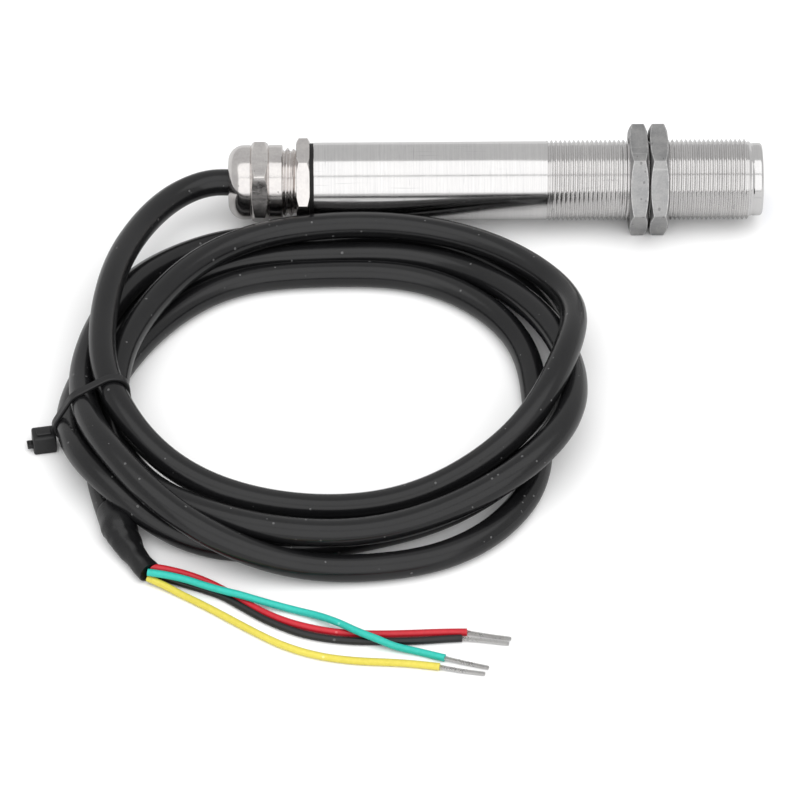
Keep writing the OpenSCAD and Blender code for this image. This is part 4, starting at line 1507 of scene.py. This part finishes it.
@dataclass
class BundleTie:
    """The thin nylon tie round the bundle of turns, with its head and cut end."""

    cable: CoiledCable
    width: float = 1.9 * MM
    thick: float = 0.8 * MM
    head: tuple[float, float, float] = (5 * MM, 4.2 * MM, 4.6 * MM)
    stub: float = 1.2 * MM
    bundle_start: float = 0.03
    outline_points: int = 96
    stub_low: float = 1 * MM
    stub_high: float = 2 * MM
    lid_inset: tuple[float, float] = (0.9 * MM, 1 * MM)
    lid_sunk: float = 0.4 * MM
    lid_rise: float = 0.5 * MM
    over_floor: float = 0.05 * MM
    tooth_step: float = 0.2 * MM

    def strands(self, path: np.ndarray) -> np.ndarray:
        """Finds where the cable crosses the tie's plane.

        Args:
            path: the cable's points.

        Returns:
            The distance from the coil's centre and the height of each crossing.
        """
        turned = math.radians(self.cable.tie_angle)
        out = np.array([math.cos(turned), math.sin(turned)])
        flat = path[:, :2] - np.array(self.cable.centre)
        reach = flat @ out
        side = flat @ np.array([-out[1], out[0]])
        found = []
        for i in range(len(path) - 1):
            if side[i] * side[i + 1] <= 0 and reach[i] > self.bundle_start and side[i] != side[i + 1]:
                part = side[i] / (side[i] - side[i + 1])
                found.append((reach[i] + part * (reach[i + 1] - reach[i]),
                              path[i, 2] + part * (path[i + 1, 2] - path[i, 2])))
        return np.array(found)

    def outline(self, path: np.ndarray) -> np.ndarray:
        """Wraps the strands in the strap's taut inner outline.

        Args:
            path: the cable's points.

        Returns:
            The outline at even distances, as distance from the coil's centre and height.
        """
        centres = self.strands(path)
        points = []
        for turn in np.linspace(0.0, math.tau, self.outline_points, endpoint=False):
            way = np.array([math.cos(turn), math.sin(turn)])
            outer = centres[np.argmax(centres @ way)]
            points.append(outer + way * (self.cable.radius + self.cable.gap))
        loop = np.array(points + points[:1])
        far = distances(loop)
        at = np.linspace(0.0, far[-1], self.outline_points + 1)[:-1]
        return np.stack([np.interp(at, far, loop[:, axis]) for axis in range(2)], axis=1)

    def in_place(self, reach: float, side: float, height: float) -> tuple[float, float, float]:
        """Moves a point from the tie's plane into the frame."""
        turned = math.radians(self.cable.tie_angle)
        return (self.cable.centre[0] + reach * math.cos(turned) - side * math.sin(turned),
                self.cable.centre[1] + reach * math.sin(turned) + side * math.cos(turned), height)

    def strap(self, loop: np.ndarray) -> bpy.types.Mesh:
        """Builds the strap: a flat band with softened edges.

        Args:
            loop: the outline that it lies on.

        Returns:
            The strap.
        """
        ahead = np.roll(loop, -1, axis=0) - np.roll(loop, 1, axis=0)
        ahead /= np.linalg.norm(ahead, axis=1)[:, None]
        out = np.column_stack([ahead[:, 1], -ahead[:, 0]])
        half, soft = self.width / 2, 0.2 * MM
        section = ((-half + soft, 0.0), (-half, soft), (-half, self.thick - soft), (-half + soft, self.thick),
                   (half - soft, self.thick), (half, self.thick - soft), (half, soft), (half - soft, 0.0))
        points = []
        for base, way in zip(loop, out):
            for side, rise in section:
                reach, height = base + way * rise
                points.append(self.in_place(reach, side, max(height, LOWEST_Z)))
        rows, size = len(loop), len(section)
        faces = [(i * size + k, (i + 1) % rows * size + k, (i + 1) % rows * size + (k + 1) % size,
                  i * size + (k + 1) % size) for i in range(rows) for k in range(size)]
        return face_outwards(new_mesh("strap", points, faces))

    def block(self, low: Sequence[float], high: Sequence[float], soft: float) -> bpy.types.Mesh:
        """Builds a block with bevelled edges in the tie's plane.

        Args:
            low: its lowest corner: reach, side and height.
            high: its highest corner.
            soft: the bevel's width.

        Returns:
            The block.
        """
        work = bmesh.new()
        bmesh.ops.create_cube(work, size=1.0)
        for vert in work.verts:
            vert.co = Vector([low[i] if vert.co[i] < 0 else high[i] for i in range(3)])
        bmesh.ops.bevel(work, geom=list(work.edges), offset=soft, segments=3, affect="EDGES", profile=0.5)
        for vert in work.verts:
            vert.co = Vector(self.in_place(*vert.co))
        mesh = bpy.data.meshes.new("block")
        work.to_mesh(mesh)
        work.free()
        return face_outwards(mesh)

    def build(self, path: np.ndarray) -> bpy.types.Object:
        """Builds the strap, the head with its raised lid, the cut end and the end's teeth.

        Args:
            path: the cable's points.

        Returns:
            The tie.
        """
        loop = self.outline(path)
        reach, tall = self.head[0], self.head[2]
        edge = loop[:, 0].max() + self.thick * 0.6
        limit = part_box("cable_tie")[0].x
        widest = (self.cable.centre[0] - limit) / math.cos(math.radians(self.cable.tie_angle - 180.0))
        far_side = min(edge + reach, widest - self.stub - 0.3 * MM)
        low_z = FLOOR_Z + self.over_floor
        half = self.head[1] / 2
        inset, inset_side = self.lid_inset
        top = low_z + tall
        parts = [self.strap(loop),
                 self.block((far_side - reach, -half, low_z), (far_side, half, top), 0.5 * MM),
                 self.block((far_side - reach + inset, -half + inset_side, top - self.lid_sunk),
                            (far_side - inset, half - inset_side, top + self.lid_rise), 0.25 * MM),
                 self.block((far_side - 0.4 * MM, -self.width / 2, low_z + self.stub_low),
                            (far_side + self.stub, self.width / 2, low_z + self.stub_high), 0.2 * MM)]
        line = [self.in_place(far_side + i * self.tooth_step, 0.0, low_z + self.stub_high + 0.02 * MM)
                for i in range(1, round(self.stub / self.tooth_step))]
        parts.append(grown_mesh(teeth_tree(), {
            "Spacing": 0.4 * MM, "Tooth": (0.12 * MM, 1.2 * MM, 0.2 * MM),
            "Material": FINISHES["tie_nylon"].make()}, path_curve(line)))
        mesh = joined("bundle_tie", parts)
        return piece("bundle_tie", mesh, "tie_nylon", Body.HOUSING, ["cable_tie"], crease=35.0)


# The sleeve's stations: place from the cable's exit and the floor, and diameter.
SHRINK_ROUTE = (
    (-0.0234, -0.0965, 0.0037, 0.0072), (-0.0221, -0.1013, 0.00375, 0.0074),
    (-0.0203, -0.1059, 0.0032, 0.0062), (-0.018, -0.1102, 0.0026, 0.005),
    (-0.0153, -0.1143, 0.0024, 0.0048),
)


@dataclass
class ShrinkSleeve:
    """The heat-shrunk sleeve over the end of the jacket, lumpy where the cores spread."""

    exit: Vector
    sides: int = 40

    def swell(self, far: float, turn: float) -> float:
        """Gives the sleeve's lumps and wrinkles.

        Args:
            far: the distance along it.
            turn: the angle round it.

        Returns:
            A factor on its radius.
        """
        past = max(0.0, min(1.0, (far - 5 * MM) / (6 * MM)))
        cores = 0.045 * math.cos(4 * turn + 0.6) * past
        wrinkle = 0.02 * math.sin(far * 2600.0 + 2.2 * math.sin(turn)) * (1 - abs(2 * past - 1))
        lump = 0.035 * math.sin(far * 700.0 + 2 * turn + 1.0) + 0.02 * math.sin(far * 1500.0 - 3 * turn)
        bulge = 0.11 * math.exp(-(((far - 6 * MM) / (2 * MM)) ** 2)) * (0.8 + 0.4 * math.sin(turn + 0.5))
        return 0.97 + cores + wrinkle + bulge + lump * (0.3 + 0.7 * past)

    def build(self) -> bpy.types.Object:
        """Sweeps the sleeve, with a lip over the jacket and a hollow mouth.

        Returns:
            The sleeve.
        """
        rows = np.array(SHRINK_ROUTE)
        fine = smooth_curve(rows, 14)
        centre = fine[:, :3] + (self.exit.x, self.exit.y, FLOOR_Z)
        radii = fine[:, 3] / 2
        radii[:3] *= (0.9, 0.97, 1.0)
        mouth = centre[-1] + (centre[-2] - centre[-1]) * np.array([[0.0], [0.4], [3.0]])
        centre = np.vstack([centre, mouth])
        radii = np.r_[radii, radii[-1] * 0.93, radii[-1] * 0.86, radii[-1] * 0.78]
        mesh = swept_mesh("shrink_sleeve", centre, radii, self.sides, self.swell)
        for vert in mesh.vertices:
            vert.co.z = max(vert.co.z, LOWEST_Z)
        return piece("shrink_sleeve", mesh, "shrink_tube", Body.HOUSING, ["heat_shrink"], crease=50.0)


@dataclass
class CoreWire:
    """One insulated core that leaves the sleeve, with its bare tinned end."""

    colour: str
    exit: Vector
    route: Route
    tip: Route
    diameter: float = 1.6 * MM
    tip_diameter: float = 0.9 * MM
    step: float = 1 * MM
    sides: int = 14

    def lay(self, points: Route) -> np.ndarray:
        """Moves a route from the cable's exit and the floor into the frame."""
        return np.array(points, dtype=float) + (self.exit.x, self.exit.y, FLOOR_Z)

    def build(self) -> bpy.types.Object:
        """Returns:
            The core.
        """
        path = even_path(self.lay(self.route), self.step)
        far = distances(path)
        radii = self.diameter / 2 * (0.985 + 0.012 * np.sin(far * 390.0))
        mesh = swept_mesh("core", path, radii, self.sides)
        name = "core_" + self.colour
        core = piece(name, mesh, name, Body.HOUSING, ["wire_" + self.colour])
        line = smooth_curve(self.lay([self.route[-1], *self.tip]), 6)
        line = np.vstack([line[0] + (line[0] - line[1]) * 0.8, line])
        strand = self.tip_diameter / 6
        bare = grown_mesh(strand_tree(), {
            "Bundle Radius": strand * 2.0, "Strand Radius": strand, "Strands": 6, "Turns": 2.6, "Rings": 40,
            "Material": FINISHES["tinned_copper"].make()}, path_curve(line))
        tip = piece("strands_" + self.colour, face_outwards(bare), "tinned_copper", Body.HOUSING,
                    ["tip_" + self.colour], crease=60.0)
        return core


# Each core's route from the sleeve, and then its bare end, from the cable's exit and the floor.
CORE_ROUTES: dict[str, tuple[Route, Route]] = {
    "red": ((
        (-0.015, -0.1135, 0.00325), (-0.0112, -0.114, 0.0028), (-0.0072, -0.1148, 0.0021),
        (-0.0034, -0.116, 0.0013), (0.0002, -0.118, 0.0008), (0.0044, -0.1214, 0.0008),
        (0.0086, -0.1246, 0.0008), (0.0132, -0.1273, 0.0008), (0.018, -0.1292, 0.0008),
        (0.023, -0.1305, 0.0008), (0.028, -0.1311, 0.0008), (0.033, -0.1313, 0.0008),
        (0.038, -0.1312, 0.0008), (0.043, -0.131, 0.0008), (0.047, -0.1309, 0.0008),
        (0.0509, -0.1309, 0.0008)),
        ((0.0554, -0.1318, 0.0006), (0.06, -0.1326, 0.0005))),
    "black": ((
        (-0.015, -0.1135, 0.00155), (-0.0113, -0.1151, 0.0012), (-0.0074, -0.1165, 0.0008),
        (-0.0034, -0.1182, 0.0008), (0.0004, -0.1202, 0.0008), (0.0044, -0.1233, 0.0008),
        (0.0084, -0.1264, 0.0008), (0.0126, -0.129, 0.0008), (0.017, -0.1311, 0.0008),
        (0.022, -0.1325, 0.0008), (0.027, -0.1332, 0.0008), (0.032, -0.1334, 0.0008),
        (0.037, -0.1334, 0.0008), (0.042, -0.1332, 0.0008), (0.0465, -0.1328, 0.0008),
        (0.0498, -0.1326, 0.0008)),
        ((0.0546, -0.1332, 0.0006), (0.0595, -0.134, 0.0005))),
    "teal": ((
        (-0.0156, -0.1151, 0.00325), (-0.0118, -0.1158, 0.0031), (-0.0078, -0.1168, 0.0028),
        (-0.0038, -0.1184, 0.0026), (0, -0.1199, 0.00255), (0.004, -0.1213, 0.0025),
        (0.008, -0.1224, 0.0019), (0.012, -0.1233, 0.0012), (0.016, -0.1245, 0.0009),
        (0.02, -0.1264, 0.0014), (0.024, -0.1292, 0.0023), (0.028, -0.132, 0.00255),
        (0.032, -0.134, 0.0023), (0.036, -0.1353, 0.0013), (0.041, -0.1365, 0.0008),
        (0.0462, -0.1383, 0.0008)),
        ((0.0506, -0.1396, 0.0006), (0.0552, -0.1409, 0.0005))),
    "yellow": ((
        (-0.0156, -0.1151, 0.00155), (-0.012, -0.1171, 0.0012), (-0.0084, -0.1194, 0.0008),
        (-0.0046, -0.122, 0.0008), (-0.0006, -0.1249, 0.0008), (0.0034, -0.1279, 0.0008),
        (0.0075, -0.1309, 0.0008), (0.0117, -0.1337, 0.0008), (0.016, -0.1359, 0.0008),
        (0.0205, -0.1375, 0.0008), (0.025, -0.1385, 0.0008), (0.0295, -0.1391, 0.0008),
        (0.034, -0.1394, 0.0008), (0.0385, -0.1398, 0.0008), (0.042, -0.1403, 0.0008),
        (0.0451, -0.1408, 0.0008)),
        ((0.0497, -0.1418, 0.0006), (0.0544, -0.1426, 0.0005))),
}


# ------------------------------------------------------------------ inner pieces and studio


@dataclass
class InnerPieces:
    """The CAD nodes that keep their shape: each gets its slot's full finish."""

    record: Mapping[str, Any]
    nodes: Mapping[str, bpy.types.Object]

    def slots(self) -> dict[str, str]:
        """Reads which material slot each node is recorded with."""
        return {part["node"]: part["material_slot"] for part in self.record["subparts"]}

    def build(self, kept: Iterable[str]) -> None:
        """Dresses the nodes that no other piece stands for.

        Args:
            kept: the nodes' names.
        """
        slots = self.slots()
        for name in kept:
            made = self.nodes[name]
            made.data.materials.clear()
            made.data.materials.append(FINISHES[slots[name]].make())
            LOG.info("%s keeps its CAD shape in %s", name, slots[name])


@dataclass
class Studio:
    """A pale floor, two long soft panels overhead, an even sky and the camera."""

    sky: float = 0.56
    panel: float = 0.66
    panel_distance: float = 1.6
    fill: float = 1.7
    pale: Colour = (0.93, 0.93, 0.93)
    # The floor's grey as seen only in glossy reflections: a painted reflection tone, darker than the floor
    # itself.
    mirrored: Colour = (0.56, 0.56, 0.56)
    lens: float = 250.0
    camera_at: tuple[float, float, float] = (-0.08984, -0.93729, 0.81325)
    camera_tilt: float = 46.8
    camera_turn: float = -0.557
    camera_reach: tuple[float, float] = (0.05, 20.0)
    rear_panel: tuple[float, float] = (9.2, 22.2)
    front_panel: tuple[float, float] = (60.4, 24.8)
    panel_length: float = 3.0
    panel_middle: float = -0.06
    fill_angle: float = 70.0
    fill_tilt: tuple[float, float, float] = (25.0, 8.0, 0.0)
    floor_size: float = 6.0

    def camera(self) -> None:
        """Makes the camera at the view of the finished object."""
        data = bpy.data.cameras.new("camera")
        data.lens, data.sensor_width = self.lens, 36.0
        data.clip_start, data.clip_end = self.camera_reach
        made = bpy.data.objects.new("camera", data)
        made.location = self.camera_at
        made.rotation_euler = (math.radians(self.camera_tilt), 0.0, math.radians(self.camera_turn))
        bpy.context.scene.collection.objects.link(made)
        bpy.context.scene.camera = made

    def panel_light(self, name: str, tilt: float, half: float) -> None:
        """Hangs a soft panel over the sensor.

        Args:
            name: the light's name.
            tilt: its direction from straight up towards the front, in degrees.
            half: half the angle that it spans, in degrees.
        """
        data = bpy.data.lights.new(name, "AREA")
        data.shape = "RECTANGLE"
        data.size = self.panel_length
        data.size_y = 2 * self.panel_distance * math.tan(math.radians(half))
        data.energy = self.panel * math.pi * data.size * data.size_y
        made = bpy.data.objects.new(name, data)
        turned = math.radians(tilt)
        made.location = (self.panel_middle, -self.panel_distance * math.sin(turned),
                         self.panel_distance * math.cos(turned))
        made.rotation_euler = (turned, 0.0, 0.0)
        made.visible_camera = False
        bpy.context.scene.collection.objects.link(made)

    def floor(self) -> None:
        """Lays the pale floor, which shows a darker grey in glossy reflections than to the camera: a painted
        reflection tone.
        """
        made = bpy.data.materials.new("floor")
        made.use_nodes = True
        shader = made.node_tree.nodes["Principled BSDF"]
        graph = Graph(made.node_tree)
        # Glossy rays see the floor darker than the camera does: a painted reflection tone in the metal.
        mirrored = graph.add("ShaderNodeLightPath").outputs["Is Glossy Ray"]
        graph.feed(shader.inputs["Base Color"], graph.blend(mirrored, rgba(self.pale), rgba(self.mirrored)))
        shader.inputs["Roughness"].default_value = 0.9
        shader.inputs["Specular IOR Level"].default_value = 0.0
        size = self.floor_size
        mesh = new_mesh("floor", [(-size, -size, FLOOR_Z), (size, -size, FLOOR_Z),
                                  (size, size, FLOOR_Z), (-size, size, FLOOR_Z)], [(0, 1, 2, 3)])
        mesh.materials.append(made)
        floor = bpy.data.objects.new("floor", mesh)
        bpy.context.scene.collection.objects.link(floor)

    def lights(self) -> None:
        """Makes the sky, the panels and a broad fill that leaves no highlight."""
        world = bpy.data.worlds.new("sky")
        world.use_nodes = True
        world.node_tree.nodes["Background"].inputs["Color"].default_value = rgba((self.sky,) * 3)
        bpy.context.scene.world = world
        self.panel_light("rear_panel", *self.rear_panel)
        self.panel_light("front_panel", *self.front_panel)
        data = bpy.data.lights.new("fill", "SUN")
        data.energy = self.fill
        data.angle = math.radians(self.fill_angle)
        made = bpy.data.objects.new("fill", data)
        made.rotation_euler = tuple(map(math.radians, self.fill_tilt))
        made.visible_glossy = False
        bpy.context.scene.collection.objects.link(made)
        bpy.context.scene.view_settings.view_transform = "Standard"

    def build(self) -> None:
        """Sets up the floor and the lights."""
        self.floor()
        self.lights()


def main() -> None:
    """Builds the camera, the cords, every other piece, and then the floor and the lights."""
    logging.basicConfig(level=logging.INFO, format="%(name)s: %(message)s")
    for old in list(bpy.data.objects):
        if old.type in {"LIGHT", "CAMERA"} or old.name == "Cube":
            bpy.data.objects.remove(old)
    studio = Studio()
    studio.camera()
    exit_point = Vector((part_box("gland_cap")[0].x, 0.0, 0.0))
    cable = CoiledCable(exit_point)
    path = cable.path()
    jacket = cable.build(path)
    tie = BundleTie(cable).build(path)
    sleeve = ShrinkSleeve(exit_point).build()
    for colour, (route, tip) in CORE_ROUTES.items():
        CoreWire(colour, exit_point, route, tip).build()
    Barrel().build()
    JamNut("front_nut", Body.FRONT_NUT).build()
    JamNut("rear_nut", Body.REAR_NUT).build()
    gland = CableGland()
    gland.build_body()
    gland.build_cap()
    nodes = frame["nodes"]
    InnerPieces(frame["record"], nodes).build(name for name, made in nodes.items() if not made.hide_render)
    studio.build()


if __name__ == "__main__":
    main()
